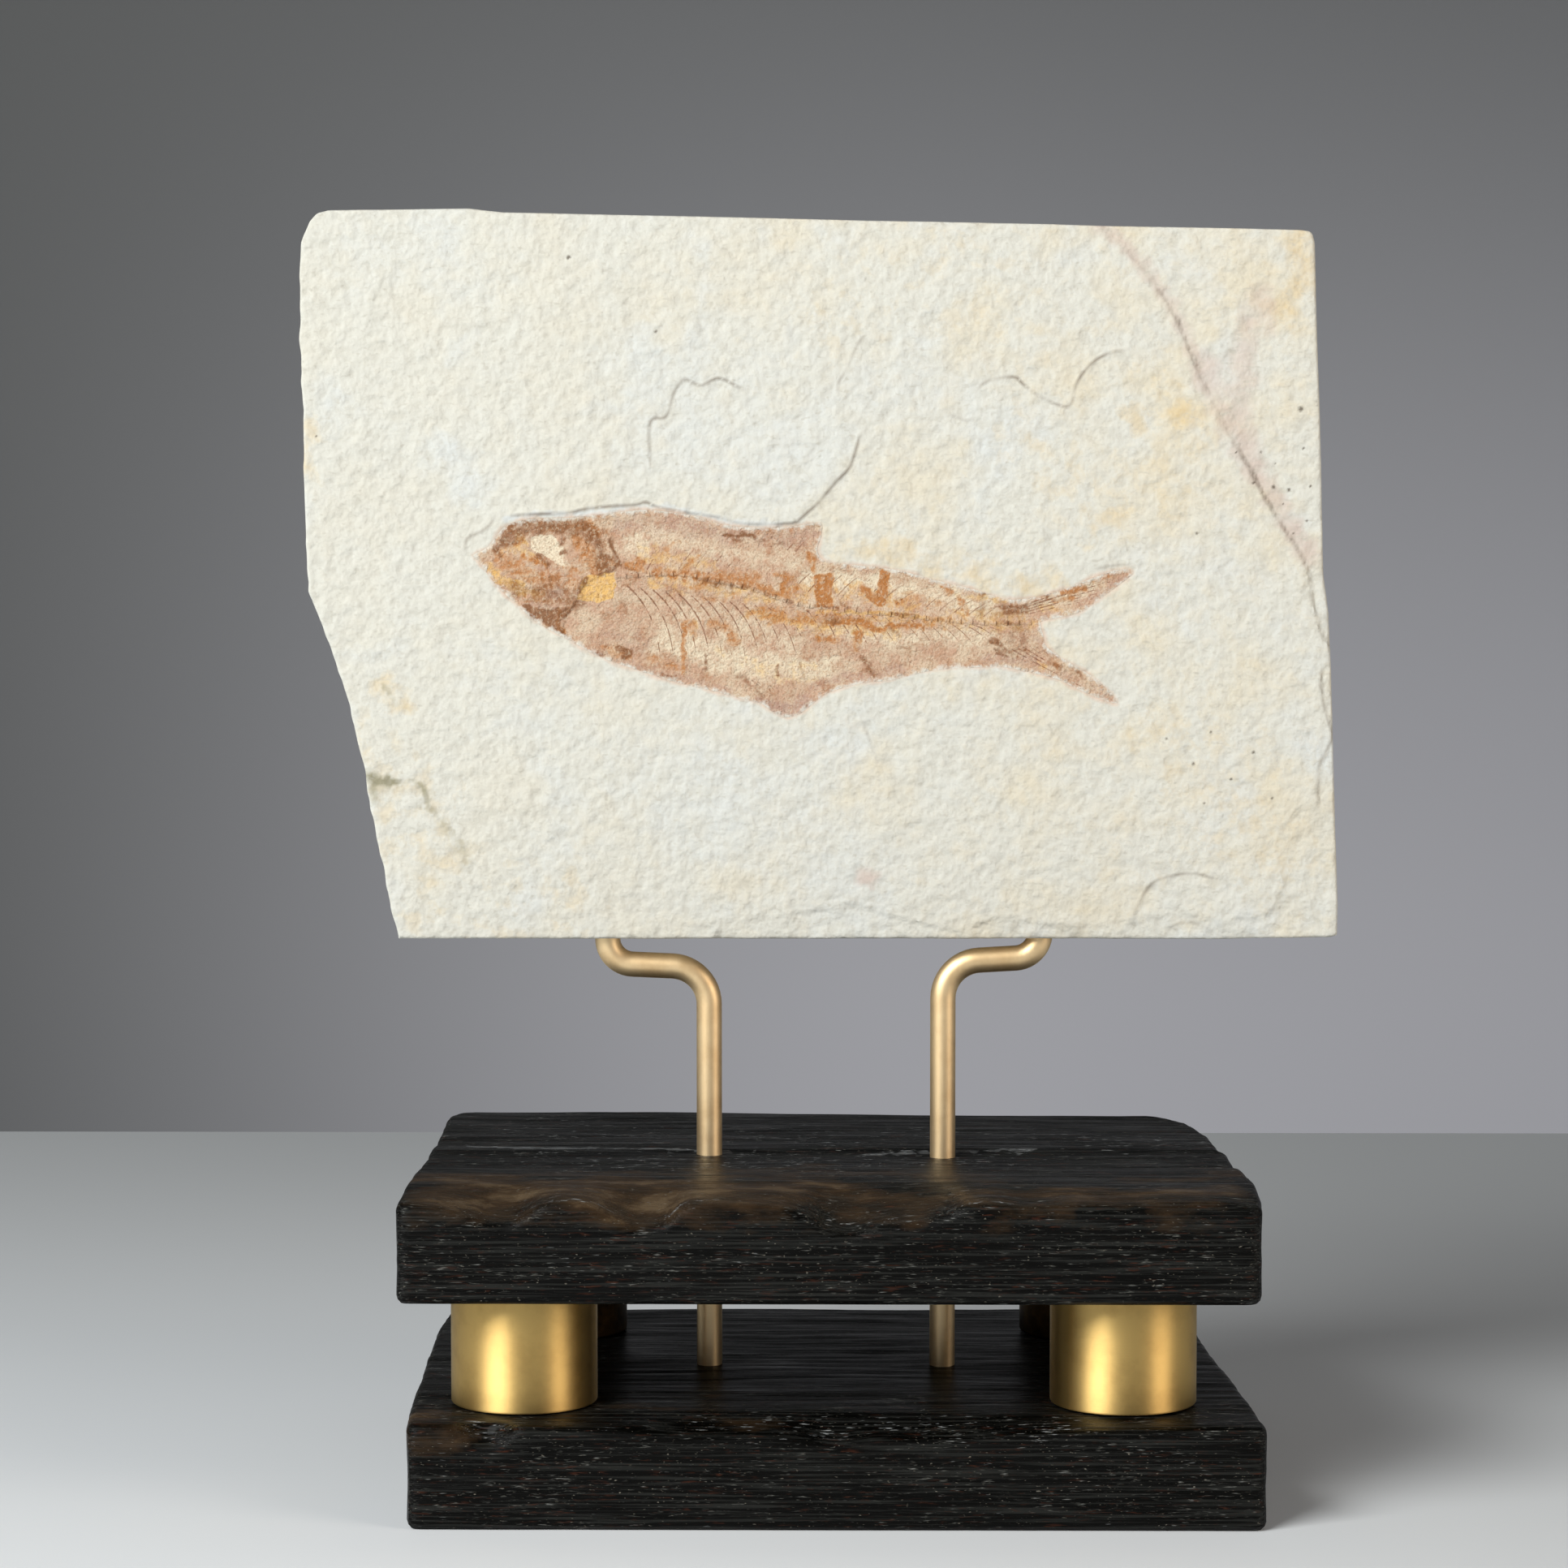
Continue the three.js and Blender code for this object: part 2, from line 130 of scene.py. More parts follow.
# The slab's four sides as [x, height above its foot]: the lower and upper ones run to the right,
# the left and right ones upwards.
SLAB_LOWER = ((-75, 0), (69, 0), (89.3, 0.3), (90.5, 0.7))
SLAB_RIGHT = (
    (90.5, 0.7), (90.6, 6), (89.8, 26.6), (89.1, 47.1), (88.6, 57.4), (87.6, 64.2), (87.1, 81.2),
    (86.2, 104.9), (85.6, 122), (85.2, 123.6), (84.5, 124),
)
SLAB_UPPER = (
    (-89.8, 125.8), (-88.5, 127.2), (-86.5, 127.7), (-62, 128), (-55.9, 127.3), (83.2, 124.2), (84.5, 124),
)
SLAB_LEFT = (
    (-75, 0), (-75.5, 2.4), (-77.3, 9), (-77.6, 12.8), (-78.6, 16.2), (-79.2, 20), (-80.8, 30),
    (-82.5, 36.8), (-83.4, 41.5), (-85.2, 47.1), (-86.3, 50.7), (-88.9, 57.2), (-90.4, 61),
    (-90.8, 65.3), (-91.3, 91.4), (-91.5, 101.6), (-91.9, 105), (-91.6, 108.4), (-91.7, 116.2),
    (-91.4, 121.9), (-90.8, 123.6), (-89.8, 125.8),
)

# The ledge across the upper right corner, from the top edge down: the stone on its right is sunk.
LEDGE_LINE = (
    (46.6, 127.5), (47.3, 126.3), (50, 122.5), (53, 120.1), (56.1, 116.7), (59.2, 112.1), (61.1, 109.1),
    (62.7, 105.5), (64.5, 101.1), (66.7, 96.2), (69.1, 91.4), (71.6, 87), (74.2, 82.8), (77.2, 77.2),
    (80.3, 72.3), (83.2, 68), (84.7, 64.5), (85.4, 60.1), (86.7, 54.5), (89.3, 50.3), (91.5, 49),
)
# A fold in the sunk corner, from the top down: the floor rises on its right.
FOLD_LINE = ((76.3, 112.8), (74.5, 108.4), (72.4, 105.3), (71.5, 99.8), (72.8, 92.5), (74.1, 85.2))
# Where thin flakes have come off the right and lower edges, from the right-hand edge round.
CHIP_LINE = (
    (91.5, 49), (87.3, 48.4), (87.1, 44.7), (88, 40.3), (89.3, 35.5), (86.9, 30.5), (87, 23.6), (83.1, 23),
    (79.5, 17.4), (81, 9), (77.9, 4.3), (69.3, 3.2), (63.6, 4.7), (57.9, 3.7), (47.9, 2.8), (39.3, 2.5),
    (30.8, 4.2), (23.6, 1.6), (10.7, 4.6), (5, 6.5), (-7.8, 4.2), (-16.4, 3.2), (-19.3, 0.6), (-20.5, -1.5),
)
FLAKES = (
    # over the fish's head and back
    Flake(((-62.9, 67.4), (-62.6, 70.4), (-60.1, 71.7), (-58.1, 73.4), (-57.6, 75.4)), 0.1, 0.5),
    Flake(
        (
            (-55.6, 74.2), (-53.4, 74.6), (-44.9, 75), (-42, 75.6), (-37.7, 76.1), (-32.8, 76.4),
            (-31.3, 76.9), (-29.2, 76), (-24.2, 75), (-19.2, 74.3), (-16.4, 73.6), (-13.6, 73),
            (-5.7, 73.1), (-4.3, 73.8), (-3.3, 74.7), (-0.9, 76.8), (2.1, 80.4), (4.7, 83.3),
            (6.5, 89.5),
        ),
        -0.16, 0.75,
    ),
    Flake(((2.7, 94.4), (2.5, 97.5), (3.9, 99.9), (5.8, 104.2), (7.6, 106.6)), 0.12, 0.45),
    Flake(((46.9, 64.9), (49.7, 65.6), (51.9, 65.9), (54.7, 65.7)), -0.1, 0.5),
    # curls higher up the face
    Flake(
        (
            (-30.3, 82.1), (-30.5, 90.8), (-27.6, 91.7), (-26.4, 95.5), (-24.7, 98.2), (-22.9, 97.7),
            (-21.4, 97.2), (-18.5, 98.5), (-15.5, 97.2), (-13.2, 96.1),
        ),
        -0.12, 0.6,
    ),
    Flake(((21.2, 92.5), (24.9, 91.1), (27.3, 91.9)), 0.08, 0.4),
    Flake(
        (
            (26.5, 96.2), (28.6, 98), (33.1, 98.7), (34.7, 97.5), (37.2, 95.6), (40.9, 93.8), (43.1, 93.8),
            (43.9, 96.9), (45.2, 99.3), (47.6, 101.7), (50.7, 103.1), (53.1, 103.2),
        ),
        0.14, 0.75,
    ),
    # near the lower right corner
    Flake(((54.3, 2.5), (55.5, 6.3), (58, 10), (61.7, 11.3), (65.4, 11.6), (69.1, 10.6)), -0.14, 0.6),
    Flake(((59.9, 0.7), (62.3, 2.8), (65.5, 2.8), (69.2, 1.2)), -0.1, 0.4),
    Flake(((87.3, 48.4), (87.1, 44.7), (88, 40.3), (89.3, 35.5), (86.9, 30.5), (87, 23.6)), 0.1, 0.45),
    Flake(((6.4, 39.9), (8, 35.2), (10, 29.8)), 0.02, 0.3),
)
STONE_MARKS = (
    # rust-coloured blooms
    *strokes(
        Tone.SAFFRON, rows=(
            (9, 0.3, (33.4, 89.5), (38, 84), (44.8, 80)), (5, 0.75, (63.3, 92.6), (65, 90.6)),
            (4.5, 0.5, (53.7, 91.5), (55.4, 89.4)), (12, 0.3, (58, 98), (62, 87), (60, 80)),
            (5, 0.45, (44, 71.5), (49.5, 74.2), (53, 75)), (6, 0.65, (83, 121), (83.6, 115), (80.5, 111)),
            (4, 0.5, (-90.6, 90), (-90.2, 83)), (4.5, 0.6, (-77.5, 44.6), (-74.6, 41.2)),
            (14, 0.35, (-80, 30), (-75, 22), (-70, 12)), (12, 0.28, (-72, 6), (-60, 3), (-48, 6)),
            (16, 0.3, (60, 30), (75, 24), (84, 12)), (5.5, 0.5, (2, 69), (14, 67), (26, 64), (33, 62)),
            (3.4, 0.6, (32, 61.6), (37, 61.8), (41, 63.2)), (16, 0.2, (2, 110), (20, 116), (34, 108)),
        ),
    ),
    # cooler, whiter stone
    *strokes(
        Tone.FROST, rows=(
            (20, 0.5, (-28, 92), (-14, 90), (-2, 84)), (12, 0.4, (6, 97), (16, 99), (26, 95)),
            (13, 0.3, (-80, 121), (-60, 117)), (20, 0.5, (-24, 28), (-10, 18), (2, 12)),
            (12, 0.3, (-60, 50), (-46, 40)), (12, 0.45, (58, 62), (70, 66)),
            (
                1, 1, (-55.5, 73.9), (-51, 74.5), (-44.8, 74.7), (-34.8, 75.8), (-30.6, 76.2), (-22, 74.8),
                (-16.4, 73.3), (-7.8, 72.8),
            ),
        ),
    ),
    # pinkish grey painted shade on the slopes of the ledge's channel and its fold, and a smudge near the foot
    *strokes(
        Tone.ROSE, rows=(
            (4.6, 0.55, (66.4, 100), (69.4, 94), (74.6, 85)),
            (4.2, 0.5, (74.6, 108), (73, 101), (72, 94), (74, 86)),
            (2.4, 0.5, (48.6, 124.8), (53.5, 120.2), (59.8, 112), (65.4, 101.5)),
            (3.2, 0.6, (75, 83), (80, 75.6), (85.4, 67.4)), (2.6, 0.7, (7.2, 11.4), (8.2, 10.8)),
            (4, 0.4, (76, 113), (78, 108)),
        ),
    ),
    # greenish grey creep from the broken edge
    *strokes(
        Tone.STAIN, rows=(
            (1.7, 0.95, (-80.4, 28.9), (-77.5, 28.1), (-75.4, 27.8)),
            (0.9, 0.6, (-75.4, 27.8), (-72.6, 27.9), (-71.2, 27.2), (-69.9, 24.9), (-69.5, 22.8)),
            (1.6, 0.6, (-80.6, 30), (-79, 27), (-79.4, 24)),
            (1, 0.4, (-73.6, 24.6), (-69.5, 22.8), (-65.4, 19.2), (-63.4, 16.2)),
            (1.2, 0.55, (-77.1, 44.1), (-75.4, 42.4)), (2.2, 0.25, (-67, 21), (-63, 14), (-64, 10)),
        ),
    ),
    # small dark specks
    *strokes(
        Tone.SOOT, rows=(
            (1.3, 1, (-44.6, 119.5)), (1.3, 0.8, (-29.4, 106.6)), (1.6, 1, (83.3, 93.1)),
            (1.1, 0.8, (72, 85.6)), (1.2, 0.75, (83.9, 86.2)), (1.2, 0.8, (85.2, 79.6)),
            (1, 0.7, (80.4, 76.6)), (1, 0.7, (82.2, 71.4)), (1, 0.65, (79, 83.6)), (1.4, 0.9, (78.7, 79.5)),
            (1.3, 0.8, (75.2, 80.2)), (1.3, 0.85, (81.4, 79)), (1.2, 0.7, (76.4, 85.6)),
            (1.3, 0.75, (65.3, 71.4)), (1.2, 0.7, (84.6, 73.6)), (1.3, 0.7, (60.2, 35.4)),
            (1.4, 0.8, (64.9, 31)), (1.2, 0.65, (68, 36.6)), (1.3, 0.75, (71.6, 28.3)),
            (1.4, 0.8, (75.5, 33)), (1.3, 0.7, (78.8, 24.9)), (1.2, 0.65, (66.9, 24)),
            (1.3, 0.6, (-88.9, 88.4)), (1, 0.5, (-84.3, 14.2)),
        ),
    ),
)

FISH_OUTLINE = (
    # lower jaw tip, snout and back as far as the dorsal fin
    (-61.5, 67.6), (-59, 68.9), (-57.6, 70.6), (-55.5, 72.9), (-51.2, 73.9), (-44.8, 74.1), (-34.8, 75.2),
    (-30.6, 75.5), (-22, 74.3), (-16.4, 72.7), (-7.8, 72.4),
    # dorsal fin, and the back behind it
    (-2.1, 73.1), (-0.4, 73), (-0.6, 70.6), (-1.2, 68.6), (-0.4, 66.9), (2, 66.2), (12.1, 65.1),
    (19.2, 63.3), (26.3, 61.6), (31.3, 60), (34.8, 59.9),
    # upper tail lobe, fork and lower tail lobe
    (40.5, 61.1), (46.2, 63.2), (51.1, 65), (54.3, 64.8), (52.6, 63.1), (47.6, 59.4), (44.8, 57.5),
    (39.1, 56.2), (38, 55.7), (38.6, 53.2), (39.1, 51.5), (42.7, 49), (47, 46.4), (50.3, 43.6),
    (51.4, 42.3), (51.1, 41.6), (47, 43), (43.4, 44.7), (40.6, 46), (34.9, 47.3),
    # belly, with the pelvic fin, and the lower jaw
    (30.6, 48), (19.2, 47.4), (12.1, 45.7), (6.4, 45.1), (0.7, 43.4), (-2.8, 40.8), (-4.3, 39.7),
    (-6.4, 39.1), (-8.5, 39.7), (-10.7, 41.4), (-12.8, 42), (-19.2, 43.7), (-26.4, 45.4), (-33.5, 47.7),
    (-39.2, 49.7), (-44.9, 52.8), (-50.6, 55.9), (-53.4, 58.5), (-57.4, 62.2), (-60.5, 66.4),
)
SPINE_LINE = (
    (-35.6, 63.8), (-26.3, 64.3), (-20, 63.3), (-12.1, 61.5), (-5, 59.2), (2.1, 58.2), (12.1, 57.2),
    (26.3, 55.8), (35.4, 55.7),
)
GILL_LINE = (
    (-38, 70.3), (-37.3, 68.2), (-36.6, 66), (-37.7, 65), (-39.4, 64.2), (-41.7, 62.8), (-43.1, 61.3),
    (-43.7, 59.6), (-44.8, 57.9), (-45.8, 56.5), (-45.9, 54.6), (-44.9, 53),
)
FISH_MARKS = (
    # dark brown: the crest of the skull, the gill's rim, the spine's knuckles and the tail's root
    *strokes(
        Tone.UMBER, rows=(
            (2.8, 0.85, (-56, 70.5), (-53, 72.6), (-47, 73.2), (-41, 71.6), (-38.5, 66.5)),
            (4, 0.6, (-54, 62), (-48, 60.5), (-44, 60)), (0.8, 0.6, (-22, 63.4), (-14, 62), (-8, 60.4)),
            (3, 0.42, (28, 58), (34, 57), (34, 51)),
            (0.71, 0.8, (-55.9, 70.7), (-55.6, 72), (-54.5, 73), (-53, 73.4)),
            (0.57, 1, (-51.6, 73.7), (-49.9, 73.7)), (0.85, 0.8, (-58.2, 69.9), (-57.3, 68.4), (-56.6, 67)),
            (1, 0.6, (-52.5, 72.1), (-49.9, 71.7)), (1.14, 0.5, (-48.8, 72.8), (-46.2, 72.1)),
            (0.85, 0.7, (-46.5, 69.9), (-44.8, 71)), (0.71, 1, (-46, 68.2), (-45.1, 68.6)),
            (0.85, 0.9, (-50.2, 67.4), (-48.2, 65.7)),
            (0.85, 0.9, (-37.7, 70.4), (-37, 68.2), (-36.1, 66), (-37.3, 65), (-39.4, 64.5)),
            (0.85, 0.8, (-41.4, 63.3), (-43, 61.5), (-43.6, 59.6), (-44.6, 58.1)),
            (1.71, 0.35, (-43.4, 71.7), (-41.7, 69.3), (-39.8, 66.7)),
            (1.85, 0.55, (-48.2, 63), (-46.3, 61.6), (-47.1, 60.3)),
            (0.57, 0.6, (-34.6, 65.3), (-32.6, 64.5), (-31.2, 64.6)),
            (0.71, 0.8, (-28.1, 46.5), (-26.4, 46.2)),
            (0.85, 0.6, (-40.6, 50.2), (-38.6, 50.9), (-38, 51.8)),
            (1, 0.9, (-36.3, 51.1), (-34, 50.5), (-35.2, 49.5)), (0.57, 0.8, (-36.7, 52.9)),
            (0.85, 0.35, (-35.7, 61.6), (-34.9, 59.1), (-34.5, 57.4)),
            (0.57, 0.5, (-27.8, 62.2), (-25.8, 61.1), (-24.1, 59.1)),
            (1.42, 0.7, (-20.9, 63.3), (-18.6, 62.6), (-16.4, 62.2)),
            (0.71, 1, (-17.4, 71.3), (-11.8, 71.1)), (1, 0.6, (-15.7, 69.9), (-14.1, 69.9)),
            (0.57, 0.6, (-11.8, 70.1), (-6.7, 69.7)), (1.14, 0.7, (0.7, 56.5), (2.3, 55.7)),
            (0.57, 0.8, (-6.7, 59.5), (-5, 59.5)), (0.57, 0.6, (-2.1, 58.9), (2.7, 58.2)),
            (0.71, 0.5, (2.4, 59.6), (3.8, 58.5), (5.8, 58.5)), (1, 0.7, (6.7, 49.7), (8, 48), (9, 46.8)),
            (0.71, 0.7, (11.4, 54.2), (12.7, 53.8)), (0.57, 0.6, (11.8, 57.2), (16.9, 56.9)),
            (0.43, 0.7, (-20.7, 50), (-20.7, 47.1)), (0.5, 0.9, (-8, 48.2), (-7.7, 46.5)),
            (0.43, 0.5, (-4, 49), (-3.6, 46.4)),
            (0.85, 0.6, (-15.5, 46.5), (-14.1, 46.4), (-13, 45), (-10.7, 44.3)),
            (0.71, 0.5, (-12.1, 44), (-9.8, 42.1)), (0.57, 0.5, (13, 51.4), (14.7, 51.2)),
            (0.57, 0.7, (15.9, 50.8)), (0.57, 0.9, (29.4, 58.4), (32.6, 58.8), (35.1, 58.5)),
            (1.14, 0.8, (32.3, 57.9), (35.3, 57.9)), (0.71, 0.8, (31.7, 55.8), (34.3, 55.8)),
            (1, 1, (29.5, 52.7), (31.4, 51.8), (32.4, 50.8)), (0.71, 0.7, (30, 51), (32, 50.1)),
            (0.57, 1, (34.4, 49.8)), (0.57, 1, (35.4, 50.7)), (0.43, 0.8, (32.9, 54)),
            (0.71, 1, (39.2, 60.6)), (0.57, 0.6, (27.6, 60.6), (29.7, 60.9)),
            (1, 0.6, (39.6, 49.1), (41.4, 47.8)), (0.71, 0.5, (44.3, 47.1), (46, 45.7)),
        ),
    ),
    # rust round the backbone, on the cheek and in blocks below the back
    *strokes(
        Tone.RUST, rows=(
            (3.4, 0.6, (-56.5, 66.5), (-51, 63.6), (-44, 63.6)),
            (3, 0.7, (-43.6, 71), (-42, 69), (-40, 66)),
            (1.5, 0.75, (-30, 64.6), (-22, 64), (-12, 62.2), (-6, 60.2)),
            (2.8, 0.55, (-12, 57.6), (-4, 56.6), (2, 57)),
            (4, 0.25, (-5, 61.6), (2, 61), (12, 60.4), (22, 59.6)),
            (2.6, 0.4, (4, 56.4), (14, 55.6), (24, 56.4)),
            (1.14, 0.5, (-56.5, 68.2), (-54.5, 69.3), (-52.6, 71)),
            (0.85, 1, (-52.5, 67.2), (-50.5, 66.7), (-48.5, 65.7)),
            (1.57, 0.8, (-43.7, 72.4), (-41.4, 73), (-39.7, 71.7)),
            (2.85, 0.35, (-53.3, 72.4), (-46.2, 72.7), (-39.1, 70.3), (-37.4, 66.7)),
            (1.42, 0.6, (-41.7, 66.7), (-38.4, 66.4), (-36.7, 65.5)),
            (0.85, 0.8, (-46.3, 57.9), (-46.8, 55.6), (-45.7, 53.9)),
            (1.28, 0.45, (-52.2, 60.2), (-47.7, 59.3), (-44.3, 61)),
            (1.14, 0.6, (-44.3, 65.3), (-42.3, 64.6)),
            (0.71, 0.9, (-24.1, 56.2), (-24.5, 52.5), (-24.8, 46.8)),
            (1.99, 0.5, (-29.8, 49.4), (-26.1, 48)), (1.14, 0.7, (-23.3, 55.9), (-22.9, 53.9)),
            (1.71, 0.7, (-19.2, 55.6), (-17.2, 54.8), (-15.7, 52.7)),
            (1.71, 0.6, (-38.9, 51.4), (-34.9, 50.2)),
            (0.57, 0.6, (-24.9, 65), (-23.2, 66.5), (-21.5, 67.7)),
            (1.14, 0.35, (-28.3, 67.9), (-25.5, 69.9)),
            (1.99, 0.6, (-22.1, 62.2), (-17.1, 63.6), (-12.1, 63.6)),
            (1.14, 0.4, (-20.6, 59.9), (-14.7, 60.2)), (1.14, 0.3, (-12.1, 71.7), (-5.7, 71.6)),
            (1.28, 0.9, (-8.1, 64.2), (-6.1, 63.6), (-7, 62.2), (-7.5, 60.6), (-5.1, 61.5)),
            (1, 0.9, (-3.1, 67.9), (-2, 66.7), (-1.7, 64.7)), (1.28, 0.9, (7, 61.3), (9.2, 59.9)),
            (1.57, 0.7, (-10.1, 57.9), (-8.1, 56.8), (-5.6, 56.5), (-3, 55.9)),
            (1.28, 1, (1.6, 55.7), (5.3, 55.9), (9.8, 54.5)),
            (1.14, 1, (10.7, 54.8), (13.8, 55.4), (17.1, 55.1)), (1.28, 0.9, (6, 53.8), (5.7, 51.2)),
            (1.28, 0.7, (-0.7, 53.1), (2.1, 52.7)), (1.14, 0.6, (12.7, 59.4), (15.2, 59.9), (17.5, 60.2)),
            (1.28, 0.9, (20.8, 62.2), (22.5, 60.9)), (1, 0.7, (23.7, 59.9), (25.2, 57.5)),
            (0.85, 0.5, (18.6, 59.5), (22.9, 58.9)), (1, 0.7, (40.2, 59.5), (43.6, 60.1)),
            (1, 0.8, (41.6, 61.1), (45.3, 61.8)), (1, 0.4, (47.6, 63.3), (50.7, 63.8)),
            (1.42, 0.6, (40, 49.1), (41.1, 48)),
        ),
    ),
    # mauve grey at the rims of the back, the belly and the fins
    *strokes(
        Tone.DUSK, rows=(
            (3.4, 0.5, (-34, 73), (-22, 72), (-10, 71), (-3, 71)), (5, 0.3, (-38, 54), (-30, 51)),
            (2.28, 0.7, (-48.8, 64.7), (-46.3, 63.3), (-46.5, 61)), (1.14, 0.5, (-52, 58.9), (-46.3, 57.9)),
            (2.28, 0.5, (-36.3, 73.1), (-26.3, 73.5), (-19.2, 72.1)),
            (2.28, 0.4, (-23.5, 66.7), (-17.8, 66.7)),
            (1.28, 0.4, (-42, 51.1), (-30.6, 47.4), (-16.4, 43.7)),
            (2.56, 0.9, (-10.1, 41.7), (-7.1, 40.3), (-3.6, 41.4)),
            (1.71, 0.5, (-2.1, 44.7), (3.6, 46.1), (13.5, 47.1)), (1.28, 0.5, (28.5, 49.4), (36.3, 49.1)),
            (1.14, 0.3, (-35.6, 70.3), (-34.6, 71.7)), (1.28, 0.5, (44.8, 59.4), (49.3, 61.6), (53, 63.9)),
            (1.28, 0.4, (42, 46.6), (47, 44.3), (50.6, 42.3)), (1.14, 0.4, (36.6, 53.2), (38.3, 51.8)),
        ),
    ),
    # bare stone in the eye, behind the skull, and where the skin is thin
    *strokes(
        Tone.BARE, rows=(
            (3.2, 0.4, (-30, 71.4), (-22, 68), (-14, 67), (-5, 66.4)),
            (3.6, 0.8, (-2, 63), (8, 62.8), (18, 61), (28, 58.5)),
            (4.6, 0.7, (-27, 52), (-18, 49.6), (-8, 48.4), (0, 48)),
            (5, 0.45, (-24, 57), (-14, 55), (-6, 53)), (3.6, 0.55, (2, 54.5), (16, 53), (28, 53.5)),
            (2, 0.5, (36, 58.6), (42, 60), (48, 62.4)), (1, 0.9, (-60, 68.7), (-58.9, 69.9), (-58, 71)),
        ),
    ),
    # ochre on the gill cover, the jaw and the backbone
    *strokes(
        Tone.OCHRE, rows=(
            (2.6, 0.5, (-31, 68), (-27, 66.4), (-20, 66)), (3.4, 0.45, (-8, 60.5), (4, 61.5), (16, 58.8)),
            (2.4, 0.5, (-30, 62.5), (-20, 62.5), (-10, 60)), (2.4, 0.6, (-12, 57.5), (0, 54.8), (12, 54.6)),
            (1.6, 0.7, (-59, 65.4), (-55, 62.4), (-50, 60.4)), (2.6, 0.5, (22, 57.4), (30, 57), (36, 56)),
            (1, 0.9, (-57.6, 64.7), (-55.4, 63.3), (-52.5, 62.3)), (1, 0.7, (-55.1, 61.6), (-52.7, 61)),
            (1.71, 0.55, (-55.9, 68.2), (-52.6, 68.7), (-51.9, 66.7)),
            (1.14, 0.6, (-53.3, 71), (-52.2, 69.3)), (0.85, 0.6, (-22.6, 55.6), (-23.2, 53.9)),
            (0.71, 0.8, (-1, 57.6), (7.8, 57.4), (17.8, 56.7)), (0.85, 0.6, (6.4, 56.4), (14.9, 56.2)),
            (1.71, 0.45, (17.8, 55.7), (30.6, 55.4)),
            (3.13, 0.35, (-12.1, 48.5), (-7.1, 46.8), (-2.1, 47.4)),
            (1.99, 0.3, (-19.2, 51.1), (-16.4, 49.4)), (1, 0.5, (23.5, 60.3), (33.4, 59.9)),
            (1.28, 0.6, (38.2, 58.5), (41.4, 57.9)), (1.14, 0.5, (38, 48.5), (39.4, 48.3)),
        ),
    ),
    *strokes(
        Tone.UMBER, closed=True, rows=(
            (
                0.43, 0.9, (-53, 59.3), (-51.3, 58.6), (-48.8, 58.1), (-46.3, 58.3), (-44.4, 59.1),
                (-44.3, 57.9), (-45.3, 56.8), (-46, 55.6), (-45.7, 54.2), (-45, 53.1), (-46.6, 53.8),
                (-48.8, 55.2), (-51.3, 56.6), (-52.5, 57.6),
            ),
        ),
    ),
    *strokes(
        Tone.OCHRE, closed=True, rows=(
            (
                0.28, 1, (-41.7, 63.6), (-39.1, 64.5), (-36.6, 64.5), (-36.1, 63), (-37, 60.3),
                (-38.9, 59.3), (-41.7, 59.3), (-43.7, 59.6), (-42.8, 61.5),
            ),
        ),
    ),
    *strokes(
        Tone.BARE, closed=True, rows=(
            (
                0.28, 1, (-51.2, 70.9), (-49.4, 71.1), (-47.4, 70.9), (-46.5, 69.9), (-45.4, 68.2),
                (-45.4, 65.5), (-47.1, 66.3), (-48.8, 67.4), (-50.5, 67.9), (-51.2, 69),
            ),
            (
                0.43, 0.6, (-35.6, 70.7), (-32.7, 71.4), (-30.3, 69.9), (-30.6, 67), (-33.1, 67.6),
                (-35.1, 68.4),
            ),
        ),
    ),
    *strokes(
        Tone.RUST, closed=True, rows=(
            (0.43, 0.8, (-35, 66.2), (-33, 67), (-31.4, 66.5), (-31.2, 64.7), (-34, 64.7)),
            (0.43, 1, (-1.7, 64.2), (1.6, 64.7), (1.8, 61.3), (1.3, 58.4), (-1.6, 58.6), (-2.1, 61.6)),
            (0.43, 1, (9.7, 64.5), (11.8, 64.8), (11.2, 61.6), (10.7, 58.8), (9, 58.5), (9.2, 61.6)),
        ),
    ),
)

# The upper block's front edge, worn into hollows, as [x, height above the table].
WORN_EDGE = (
    (-72, 55.2), (-70.9, 55.4), (-65.2, 55.1), (-58.9, 53.6), (-55.5, 52.4), (-52.1, 52.3),
    (-49.7, 53.6), (-46.9, 55.3), (-43.5, 55.9), (-39.2, 55.6), (-35.3, 53.7), (-31.5, 51.9),
    (-28.6, 51.7), (-26.1, 52.5), (-23.7, 54.7), (-20.9, 55.7), (-14.7, 55.8), (-7.4, 55.2),
    (-2.6, 53.7), (0, 51.6), (4.2, 50.6), (7.3, 51.3), (11.4, 52.2), (16, 52.6), (20.6, 53.9),
    (23.7, 55.3), (27.8, 55.7), (34, 55), (41.7, 55.6), (49.5, 55.3), (57.2, 55.8), (65, 55.9),
    (70.1, 55.4), (74, 55),
)
UPPER_SIDES = (
    ((-70.9, -50.3), (-70.2, -50.8), (-69.2, -51), (70.6, -51), (71.6, -50.8), (72.3, -50.3)),
    ((72.3, -50.3), (72.8, -49.6), (73, -48.4), (73.8, -30), (73.1, -14), (72, -12), (72.1, 2), (71, 4),
     (70.6, 22), (68.2, 38), (65.5, 43.5), (61, 46)),
    ((-66, 50.5), (0, 48.3), (61, 46)),
    ((-70.9, -50.3), (-71.2, -49.6), (-71.3, -48.6), (-71, -30), (-70.2, 12), (-71, 45.5), (-69.5, 49),
     (-66, 50.5)),
)
